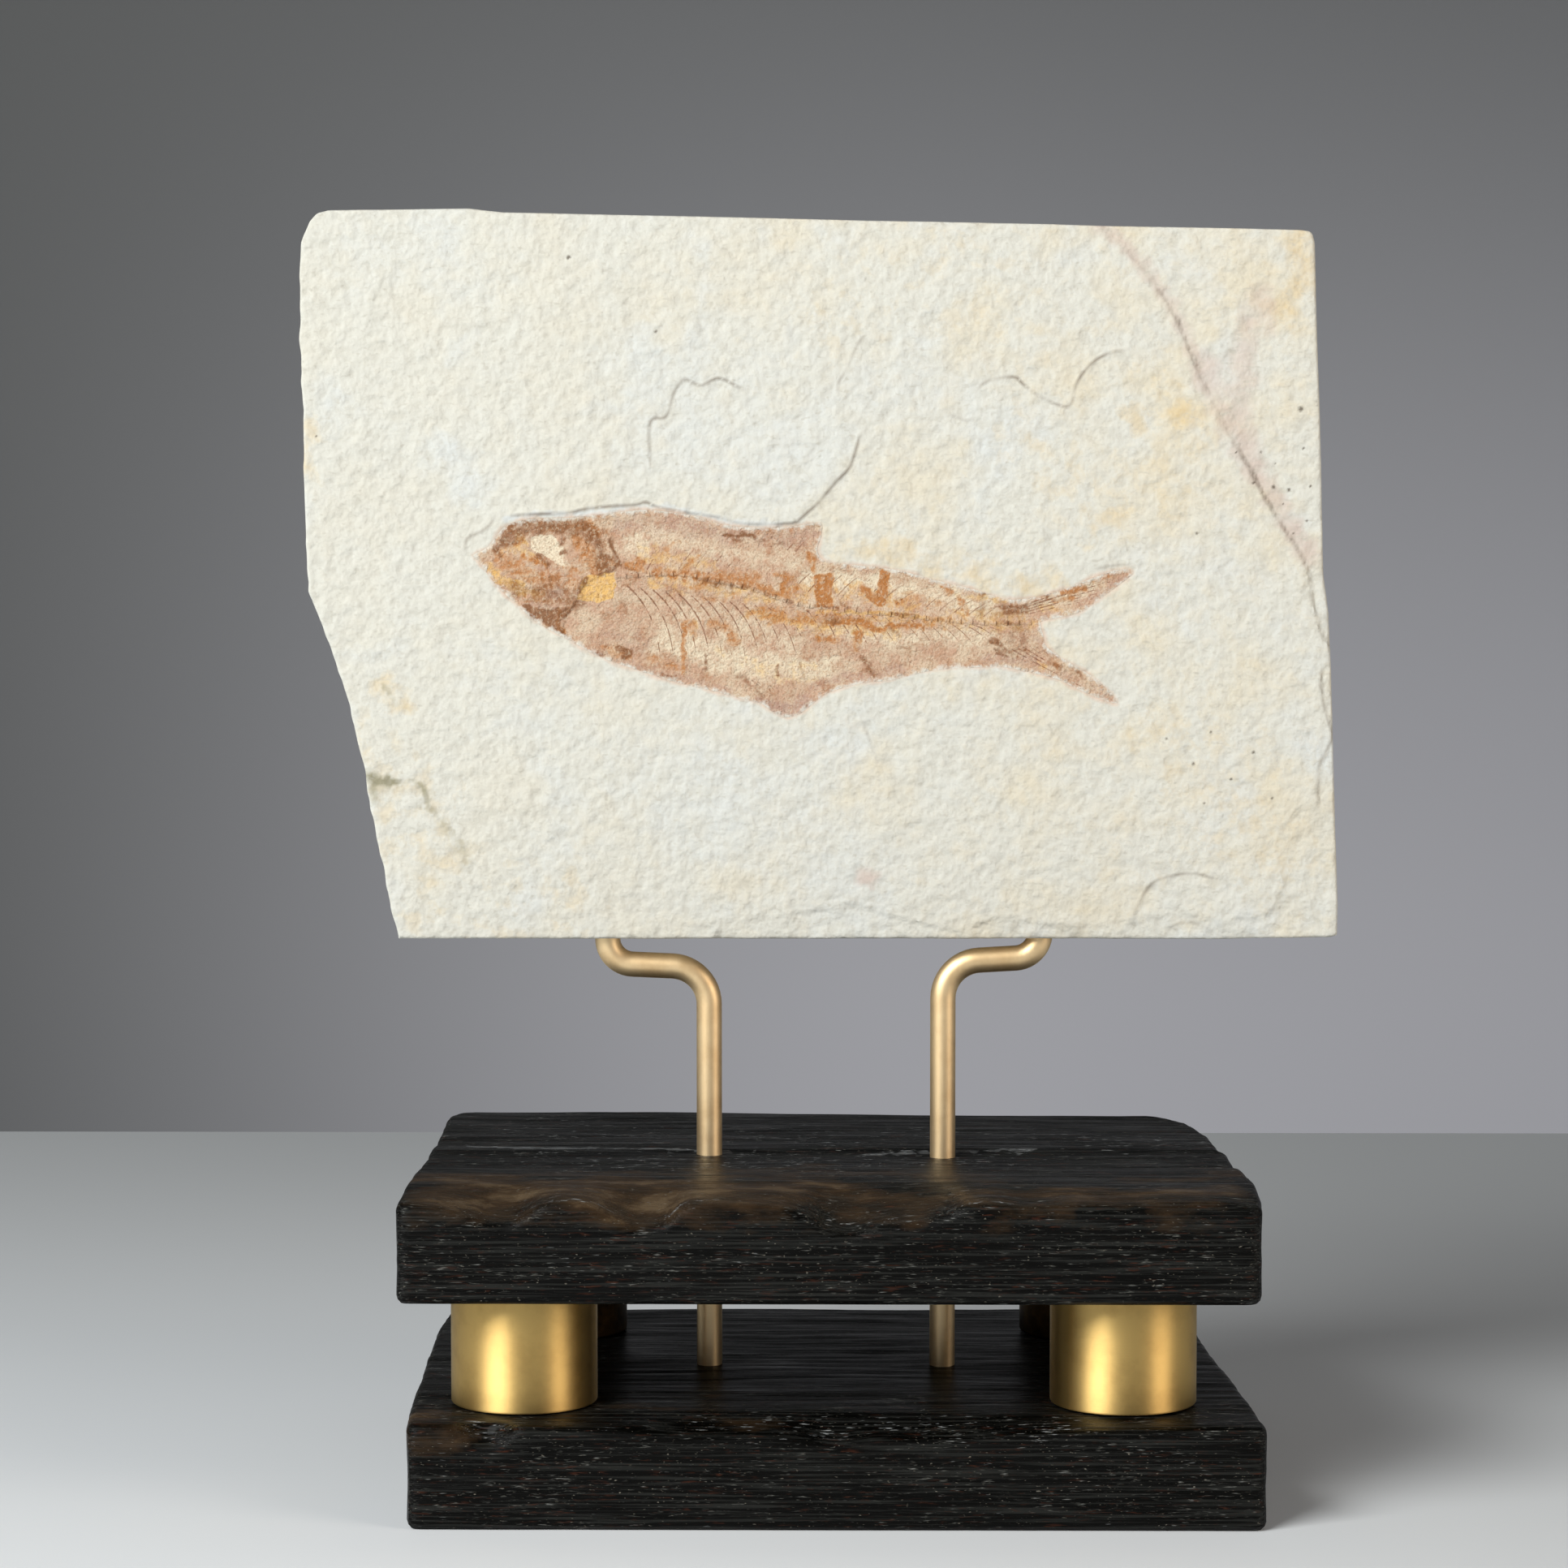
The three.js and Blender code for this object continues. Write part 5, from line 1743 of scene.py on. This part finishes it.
def tint(code: str) -> tuple[float, float, float, float]:
    """Turns an sRGB hex colour into linear red, green, blue and alpha."""
    shares = [int(code[k:k + 2], 16) / 255 for k in (1, 3, 5)]
    linear = [s / 12.92 if s <= 0.04045 else ((s + 0.055) / 1.055) ** 2.4 for s in shares]
    return (*linear, 1.0)


def blank(name: str) -> tuple[bpy.types.Material, Tree, Socket]:
    """Starts a material: it, its empty node tree, and the object's own coordinates."""
    material = bpy.data.materials.new(name)
    material.use_nodes = True
    tree = material.node_tree
    tree.nodes.clear()
    return material, tree, add(tree, "ShaderNodeTexCoord").outputs["Object"]


def mottled(
    tree: Tree, place: Socket, pitch: float | tuple[float, float, float], detail: float = 3.0,
    low: float = 0.36, high: float = 0.64, most: float = 1.0, within: Socket | None = None,
) -> Socket:
    """Makes blotches with full contrast.

    Args:
        tree: The node tree.
        place: The object's coordinates.
        pitch: Millimetres from one blotch to the next, the same all ways or along x, y and z.
        detail: How many finer layers they have.
        low: The noise at which a blotch starts.
        high: The noise at which it is full.
        most: The full blotch's share.
        within: A share that thins the blotches out, if any.

    Returns:
        The share of the blotches, from 0.
    """
    way, scale = place, 1.0
    if isinstance(pitch, tuple):
        scales = tuple(1 / (p * MM) for p in pitch)
        way = add(tree, "ShaderNodeMapping", {"Vector": place, "Scale": scales}).outputs[0]
    else:
        scale = 1 / (pitch * MM)
    values = {"Vector": way, "Scale": scale, "Detail": detail, "Roughness": 0.62}
    noise = add(tree, "ShaderNodeTexNoise", values).outputs["Fac"]
    ends = {"Value": noise, "From Min": low, "From Max": high, "To Min": 0.0, "To Max": most}
    share = add(tree, "ShaderNodeMapRange", ends).outputs[0]
    if within is None:
        return share
    return add(tree, "ShaderNodeMath", {0: share, 1: within}, operation="MULTIPLY").outputs[0]


def layered(tree: Tree, base: str, *layers: tuple[str, Socket]) -> Socket:
    """Lays colours over each other.

    Args:
        tree: The node tree.
        base: The colour underneath, as sRGB hex.
        layers: Each colour laid on, as sRGB hex, and how much of it shows.

    Returns:
        The mixed colour.
    """
    colour = tint(base)
    for code, share in layers:
        values = {MIX_FACTOR: share, MIX_A: colour, MIX_B: tint(code)}
        colour = add(tree, "ShaderNodeMix", values, data_type="RGBA").outputs[MIX_COLOUR]
    return colour


def banded(
    tree: Tree, name: str, blotch: Socket | float, ragged: float, ends: tuple[float, float], most: float,
) -> Socket:
    """Reads an attribute and breaks it up with blotches.

    Args:
        tree: The node tree.
        name: The attribute.
        blotch: Blotches from 0 to 1.
        ragged: How much a full blotch takes off the attribute.
        ends: The values from which and at which the result is full.
        most: The full result.

    Returns:
        A share from 0 to most.
    """
    value = add(tree, "ShaderNodeAttribute", attribute_name=name).outputs["Fac"]
    eaten = add(tree, "ShaderNodeMath", {0: blotch, 1: -ragged, 2: value}, operation="MULTIPLY_ADD")
    low, high = ends
    values = {"Value": eaten.outputs[0], "From Min": low, "From Max": high, "To Min": 0.0, "To Max": most}
    return add(tree, "ShaderNodeMapRange", values).outputs[0]


def raised(tree: Tree, *layers: tuple[Socket, float]) -> Socket:
    """Bumps a surface.

    Args:
        tree: The node tree.
        layers: For each layer its height from 0 to 1, and the millimetres that 1 stands for.

    Returns:
        The bumped normal.
    """
    bumped: dict[str, object] = {}
    for height, rise in layers:
        values = {"Height": height, "Strength": 1.0, "Distance": rise * MM, **bumped}
        bumped = {"Normal": add(tree, "ShaderNodeBump", values).outputs[0]}
    return bumped["Normal"]


def finished(tree: Tree, **inputs: object) -> None:
    """Ends a material with its surface's values, underscores standing for spaces."""
    values = {name.replace("_", " "): value for name, value in inputs.items()}
    shader = add(tree, "ShaderNodeBsdfPrincipled", values)
    add(tree, "ShaderNodeOutputMaterial", {"Surface": shader.outputs[0]})


@dataclass(frozen=True)
class SplitLimestone:
    """Fine limestone, split along its bedding: chalky and matt, cream with rusty and whiter patches."""

    stone: str = "#CFCFC5"
    warm: str = "#D2CBB6"
    cool: str = "#CDD1CE"
    # painted shade for the dips of the pebbled skin
    hollow: str = "#B8B5A8"
    saffron: str = "#D1B988"
    rose: str = "#C2B0A5"
    stain: str = "#8E8A72"
    soot: str = "#5F574B"
    ink: str = "#75695C"
    fish_tint: str = "#CDB4A0"
    rust_from: float = -60.0
    rust_full: float = 40.0
    patch: float = 14.0
    pebble: float = 1.7
    grit: float = 0.45

    def material(self) -> bpy.types.Material:
        """Builds the material.

        Returns:
            The material.
        """
        material, tree, place = blank("split_limestone")
        pebbles = mottled(tree, place, self.pebble, 1.0, 0.3, 0.7)
        blotch = mottled(tree, place, 2.2 * self.pebble)
        grit = mottled(tree, place, self.grit, 2.0)
        across = add(tree, "ShaderNodeSeparateXYZ", {"Vector": place}).outputs["X"]
        low, high = self.rust_from * MM, self.rust_full * MM
        values = {"Value": across, "From Min": low, "From Max": high, "To Min": 0.3, "To Max": 1.0}
        rusted = add(tree, "ShaderNodeMapRange", values).outputs[0]
        blooms = [
            (code, banded(tree, tone.value, blotch, ragged, (0.0, 0.75), most))
            for tone, code, ragged, most in (
                (Tone.FROST, self.cool, 0.3, 1.0), (Tone.SAFFRON, self.saffron, 0.5, 0.7),
                # the rose marks are painted shade on the ledge's slopes, with one real smudge near the foot
                (Tone.ROSE, self.rose, 0.2, 0.9), (Tone.STAIN, self.stain, 0.4, 0.95),
            )
        ]
        colour = layered(
            tree, self.stone,
            (self.warm, mottled(tree, place, self.patch, 5.0, 0.46, 0.66, 0.9, rusted)),
            (self.cool, mottled(tree, place, 1.4 * self.patch, 4.0, 0.46, 0.32, 0.8)),
            (self.saffron, mottled(tree, place, 3.4, 3.0, 0.53, 0.75, 0.2, rusted)),
            *blooms,
            # painted shade: darker where the pebble bump is low, and in short dark dimple strokes
            (self.hollow, mottled(tree, place, self.pebble, 1.0, 0.46, 0.3, 0.3)),
            (self.hollow, mottled(tree, place, (1.5, 1.5, 0.8), 1.0, 0.4, 0.26, 0.5)),
            (self.soot, banded(tree, Tone.SOOT.value, grit, 0.1, (0.5, 0.8), 0.85)),
            # painted shadow lines along the flake edges and along the ledge
            (self.ink, banded(tree, "crack_width", 0.0, 0.0, (0.0, 1.0), 1.0)),
            (self.ink, banded(tree, "ledge_ink", blotch, 0.35, (0.0, 0.8), 0.75)),
            (self.fish_tint, banded(tree, "near_fish", blotch, 0.6, (0.3, -0.5), 0.8)),
        )
        finished(
            tree, Base_Color=colour, Roughness=0.92, Specular_IOR_Level=0.2,
            Normal=raised(tree, (pebbles, 0.15), (blotch, 0.1), (grit, 0.02)),
        )
        return material


@dataclass(frozen=True)
class FossilBone:
    """Mineralised skin and bone: a dull pinkish tan crust, grainy, with brown, rust and ochre minerals."""

    skin: str = "#BD9C83"
    pale: str = "#CFBDA3"
    deep: str = "#A17350"
    bone: str = "#7A5038"
    dusk: str = "#AB9083"
    ochre: str = "#DBB26C"
    rust: str = "#BE8850"
    burnt: str = "#A56732"
    umber: str = "#7C5131"
    bare: str = "#DCCFB5"
    stone: str = "#D3D2C8"
    grain: float = 0.42
    blotch: float = 1.25
    cloud: float = 4.5

    def material(self) -> bpy.types.Material:
        """Builds the material.

        Returns:
            The material.
        """
        material, tree, place = blank("mineralised_fish_skin")
        grains = mottled(tree, place, self.grain, 2.0)
        blotch = mottled(tree, place, self.blotch)
        minerals = [
            (code, banded(tree, tone.value, blotch, ragged, (0.0, full), most))
            for tone, code, ragged, full, most in (
                (Tone.DUSK, self.dusk, 0.3, 0.62, 0.7), (Tone.BARE, self.bare, 0.4, 0.62, 1.0),
                (Tone.OCHRE, self.ochre, 0.5, 0.7, 0.95), (Tone.RUST, self.rust, 0.4, 0.9, 0.95),
                (Tone.RUST, self.burnt, 0.75, 0.6, 0.7), (Tone.UMBER, self.umber, 0.45, 0.66, 0.88),
                (Tone.BONE, self.bone, 0.5, 0.62, 0.8),
            )
        ]
        colour = layered(
            tree, self.skin,
            (self.pale, mottled(tree, place, self.cloud, 5.0, 0.44, 0.6, 0.8)),
            (self.deep, mottled(tree, place, 0.6 * self.cloud, 5.0, 0.48, 0.32, 0.7)),
            *minerals,
            (self.deep, mottled(tree, place, self.grain, 2.0, 0.5, 0.66, 0.45)),
            (self.pale, mottled(tree, place, 1.4 * self.grain, 2.0, 0.48, 0.32, 0.5)),
            (self.stone, banded(tree, "rim", blotch, 0.9, (0.2, -0.6), 0.85)),
        )
        finished(
            tree, Base_Color=colour, Roughness=0.82, Specular_IOR_Level=0.25,
            Normal=raised(tree, (blotch, 0.14), (grains, 0.07)),
        )
        return material


@dataclass(frozen=True)
class Brass:
    """Yellow brass, drawn or turned and left satin: soft long highlights along fine brush lines; one finish
    is darkened as painted shade.
    """

    finish: BrassFinish
    grime: str = "#B98A48"

    def material(self) -> bpy.types.Material:
        """Builds the material.

        Returns:
            The material.
        """
        colour, roughness, stretch, pitches = self.finish.value
        material, tree, place = blank(f"{self.finish.name.lower()}_satin_brass")
        brush = mottled(tree, place, pitches, 2.0)
        worn = layered(tree, colour, (self.grime, mottled(tree, place, 6.0, 4.0, 0.45, 0.75, 0.35)))
        around = add(tree, "ShaderNodeTangent", direction_type="RADIAL", axis="Z")
        finished(
            tree, Base_Color=worn, Metallic=1.0, Roughness=roughness, Anisotropic=stretch,
            Anisotropic_Rotation=0.25, Tangent=around.outputs[0], Normal=raised(tree, (brush, 0.004)),
        )
        return material


@dataclass(frozen=True)
class EbonisedWood:
    """Open-grained hardwood stained black and waxed: satin, with paler grain, brown where it is worn, and
    painted highlights.
    """

    black: str = "#040403"
    grey: str = "#20211F"
    fleck: str = "#5A5B56"
    red: str = "#3E2115"
    rub: str = "#3B2C1C"
    pale: str = "#645540"
    dust: str = "#8C9091"
    pore: str = "#827E72"

    def material(self) -> bpy.types.Material:
        """Builds the material.

        Returns:
            The material.
        """
        material, tree, place = blank("ebonised_open_grain_wood")
        grain = mottled(tree, place, (24.0, 2.4, 1.5), 5.0)
        worn = mottled(tree, place, (9.0, 5.0, 4.0), 5.0)
        cloud = mottled(tree, place, (16.0, 7.0, 4.0), 2.0, 0.42, 0.6)
        lines = mottled(tree, place, (22.0, 0.8, 0.45), 3.0, 0.48, 0.62)
        flecks = mottled(tree, place, (2.6, 0.6, 0.3), 2.0, 0.6, 0.72)
        thinned = mottled(tree, place, 5.0, 3.0, 0.3, 0.7, 0.8)
        colour = layered(
            tree, self.black,
            (self.grey, lines),
            (self.fleck, mottled(tree, place, (2.6, 0.6, 0.3), 2.0, 0.6, 0.72, 1.0, cloud)),
            (self.red, mottled(tree, place, (3.4, 0.9, 0.4), 2.0, 0.6, 0.72, 0.8, worn)),
            (self.rub, banded(tree, Tone.RUB.value, worn, 0.6, (0.0, 0.7), 0.92)),
            # lighter brown where the rubbing is strongest: worn wood with a painted highlight on it
            (self.pale, banded(tree, Tone.RUB.value, worn, 0.8, (0.5, 1.0), 0.7)),
            # pale dust, and painted highlights on the ridge and on the worn rims
            (self.dust, banded(tree, Tone.FROST.value, flecks, -0.9, (0.72, 1.4), 0.95)),
            (self.pore, mottled(tree, place, (0.8, 0.34, 0.26), 1.0, 0.7, 0.76, 1.0, thinned)),
        )
        values = {"Value": grain, "From Min": 0.0, "From Max": 1.0, "To Min": 0.3, "To Max": 0.5}
        rough = add(tree, "ShaderNodeMapRange", values)
        finished(
            tree, Base_Color=colour, Roughness=rough.outputs[0], Specular_IOR_Level=0.09,
            Normal=raised(tree, (grain, 0.12), (lines, 0.06), (flecks, 0.05)),
        )
        return material


@dataclass(frozen=True)
class Softbox:
    """A square studio light: where it stands, what it faces, its size in metres and its power in watts."""

    name: str
    stand: tuple[float, float, float]
    target: tuple[float, float, float]
    size: tuple[float, float]
    power: float
    colour: str = "#FFFFFF"

    def hang(self) -> None:
        """Puts the light in the scene."""
        light = bpy.data.lights.new(self.name, "AREA")
        light.shape = "RECTANGLE"
        light.size, light.size_y = self.size
        light.energy = self.power
        light.color = tint(self.colour)[:3]
        holder = bpy.data.objects.new(self.name, light)
        holder.location = self.stand
        holder.rotation_euler = (Vector(self.target) - Vector(self.stand)).to_track_quat("-Z", "Y").to_euler()
        bpy.context.scene.collection.objects.link(holder)


@dataclass(frozen=True)
class ShadeRamp:
    """How a backdrop's painted shade runs along an axis: where it is darkest and lightest, and its least
    share.
    """

    axis: str
    dark_at: float
    light_at: float
    least: float


@dataclass(frozen=True)
class Backdrop:
    """A matt sheet that isn't part of the object: its corners, its two greys and the painted shade that runs
    between them.
    """

    name: str
    corners: Sequence[tuple[float, float, float]]
    dark: str
    light: str
    ramps: tuple[ShadeRamp, ShadeRamp]

    def put_up(self) -> None:
        """Puts the sheet in the scene."""
        mesh = bpy.data.meshes.new(self.name)
        mesh.from_pydata([list(corner) for corner in self.corners], [], [tuple(range(len(self.corners)))])
        material, tree, place = blank(f"matt_{self.name}")
        axes = add(tree, "ShaderNodeSeparateXYZ", {0: place}).outputs
        shares = [
            add(
                tree, "ShaderNodeMapRange",
                {
                    "Value": axes[ramp.axis], "From Min": ramp.dark_at, "From Max": ramp.light_at,
                    "To Min": ramp.least, "To Max": 1.0,
                },
                interpolation_type="SMOOTHSTEP",
            ).outputs[0]
            for ramp in self.ramps
        ]
        both = add(tree, "ShaderNodeMath", {0: shares[0], 1: shares[1]}, operation="MULTIPLY").outputs[0]
        colour = layered(tree, self.dark, (self.light, both))
        finished(tree, Base_Color=colour, Roughness=0.7, Specular_IOR_Level=0.2)
        mesh.materials.append(material)
        made = bpy.data.objects.new(self.name, mesh)
        bpy.context.scene.collection.objects.link(made)


REACH, TABLE_END, WALL_Y = 1.6, 0.395, 1.6


@dataclass
class Studio:
    """The floor, the wall, the lights and the camera."""

    # painted shade: the floor darkens towards the back and the right, the wall towards the left and the top
    backdrops: Sequence[Backdrop] = (
        Backdrop(
            "floor", ((-REACH, -REACH, 0), (REACH, -REACH, 0), (REACH, TABLE_END, 0), (-REACH, TABLE_END, 0)),
            "#B7BBBC", "#F3F8FA", (ShadeRamp("Y", 0.42, -0.22, 0.0), ShadeRamp("X", 0.36, -0.04, 0.1)),
        ),
        Backdrop(
            "wall",
            (
                (-REACH, WALL_Y, -REACH), (REACH, WALL_Y, -REACH), (REACH, WALL_Y, REACH),
                (-REACH, WALL_Y, REACH),
            ),
            "#6D6F6E", "#E2E3E9", (ShadeRamp("X", -0.62, 0.125, 0.05), ShadeRamp("Z", 0.645, -0.223, 0.05)),
        ),
    )
    softboxes: Sequence[Softbox] = (
        Softbox("key", (-1.06, -1.10, 0.98), (0.0, 0.0, 0.12), (1.0, 0.9), 37.2, "#FFFEFD"),
        Softbox("side", (0.74, -0.46, 0.3), (0.0, 0.0, 0.08), (0.4, 0.55), 2.8, "#FFF0E2"),
    )
    air: str = "#C4C8D0"
    air_strength: float = 0.2

    def build(self) -> None:
        """Builds the studio."""
        for backdrop in self.backdrops:
            backdrop.put_up()
        for softbox in self.softboxes:
            softbox.hang()
        world = bpy.data.worlds.new("studio_air")
        world.use_nodes = True
        world.node_tree.nodes["Background"].inputs["Color"].default_value = tint(self.air)
        world.node_tree.nodes["Background"].inputs["Strength"].default_value = self.air_strength
        bpy.context.scene.world = world
        bpy.context.scene.view_settings.view_transform = "Standard"

    def aim_camera(self) -> None:
        """Sets the camera where the photograph was taken from."""
        lens = bpy.data.cameras.new("camera")
        lens.lens, lens.sensor_width, lens.sensor_fit = 96.0, 36.0, "HORIZONTAL"
        camera = bpy.data.objects.new("camera", lens)
        camera.location = (-0.0010, -0.7385, 0.1705)
        camera.rotation_euler = (math.radians(90 - 3.79), 0, math.radians(0.467))
        bpy.context.scene.collection.objects.link(camera)
        bpy.context.scene.camera = camera


def clad(mesh: bpy.types.Mesh, material: bpy.types.Material) -> bpy.types.Mesh:
    """Gives a mesh its only material."""
    mesh.materials.append(material)
    return mesh


def main() -> None:
    """Builds the slab, the fish, the stand and the studio in order."""
    logging.basicConfig(level=logging.INFO, format="%(message)s")
    studio = Studio()
    studio.aim_camera()
    studio.build()
    slab = Slab()
    shown("fossil_slab_face", clad(slab.build(), SplitLimestone().material()), Slot.LIMESTONE, "fossil_slab")
    fish = Fish(slab)
    crust = FossilBone().material()
    shown("fossil_fish_skin", clad(fish.build(), crust), Slot.FOSSIL_BONE, "fossil_fish")
    shown("fossil_fish_bones", Skeleton(fish).build(crust), Slot.FOSSIL_BONE, "fossil_fish")
    brass = {finish: Brass(finish).material() for finish in BrassFinish}
    growth = bent_rod_growth()
    for rod in RODS:
        shown(f"{rod.name}_bent", rod.build(growth, brass[BrassFinish.DRAWN]), Slot.BRASS_ROD, rod.name)
    for spacer in SPACERS:
        shown(f"{spacer.name}_turned", spacer.build(brass[spacer.finish]), Slot.SATIN_BRASS, spacer.name)
    wood = EbonisedWood().material()
    for block in (
        UpperBlock("upper_block", UPPER_SIDES, 38.0, UPPER_RUBS, 31),
        LowerBlock("lower_block", LOWER_SIDES, 0.0, LOWER_RUBS, 37),
    ):
        shown(f"{block.name}_worn", clad(block.build(), wood), Slot.EBONISED_WOOD, block.name)


if __name__ == "__main__":
    main()
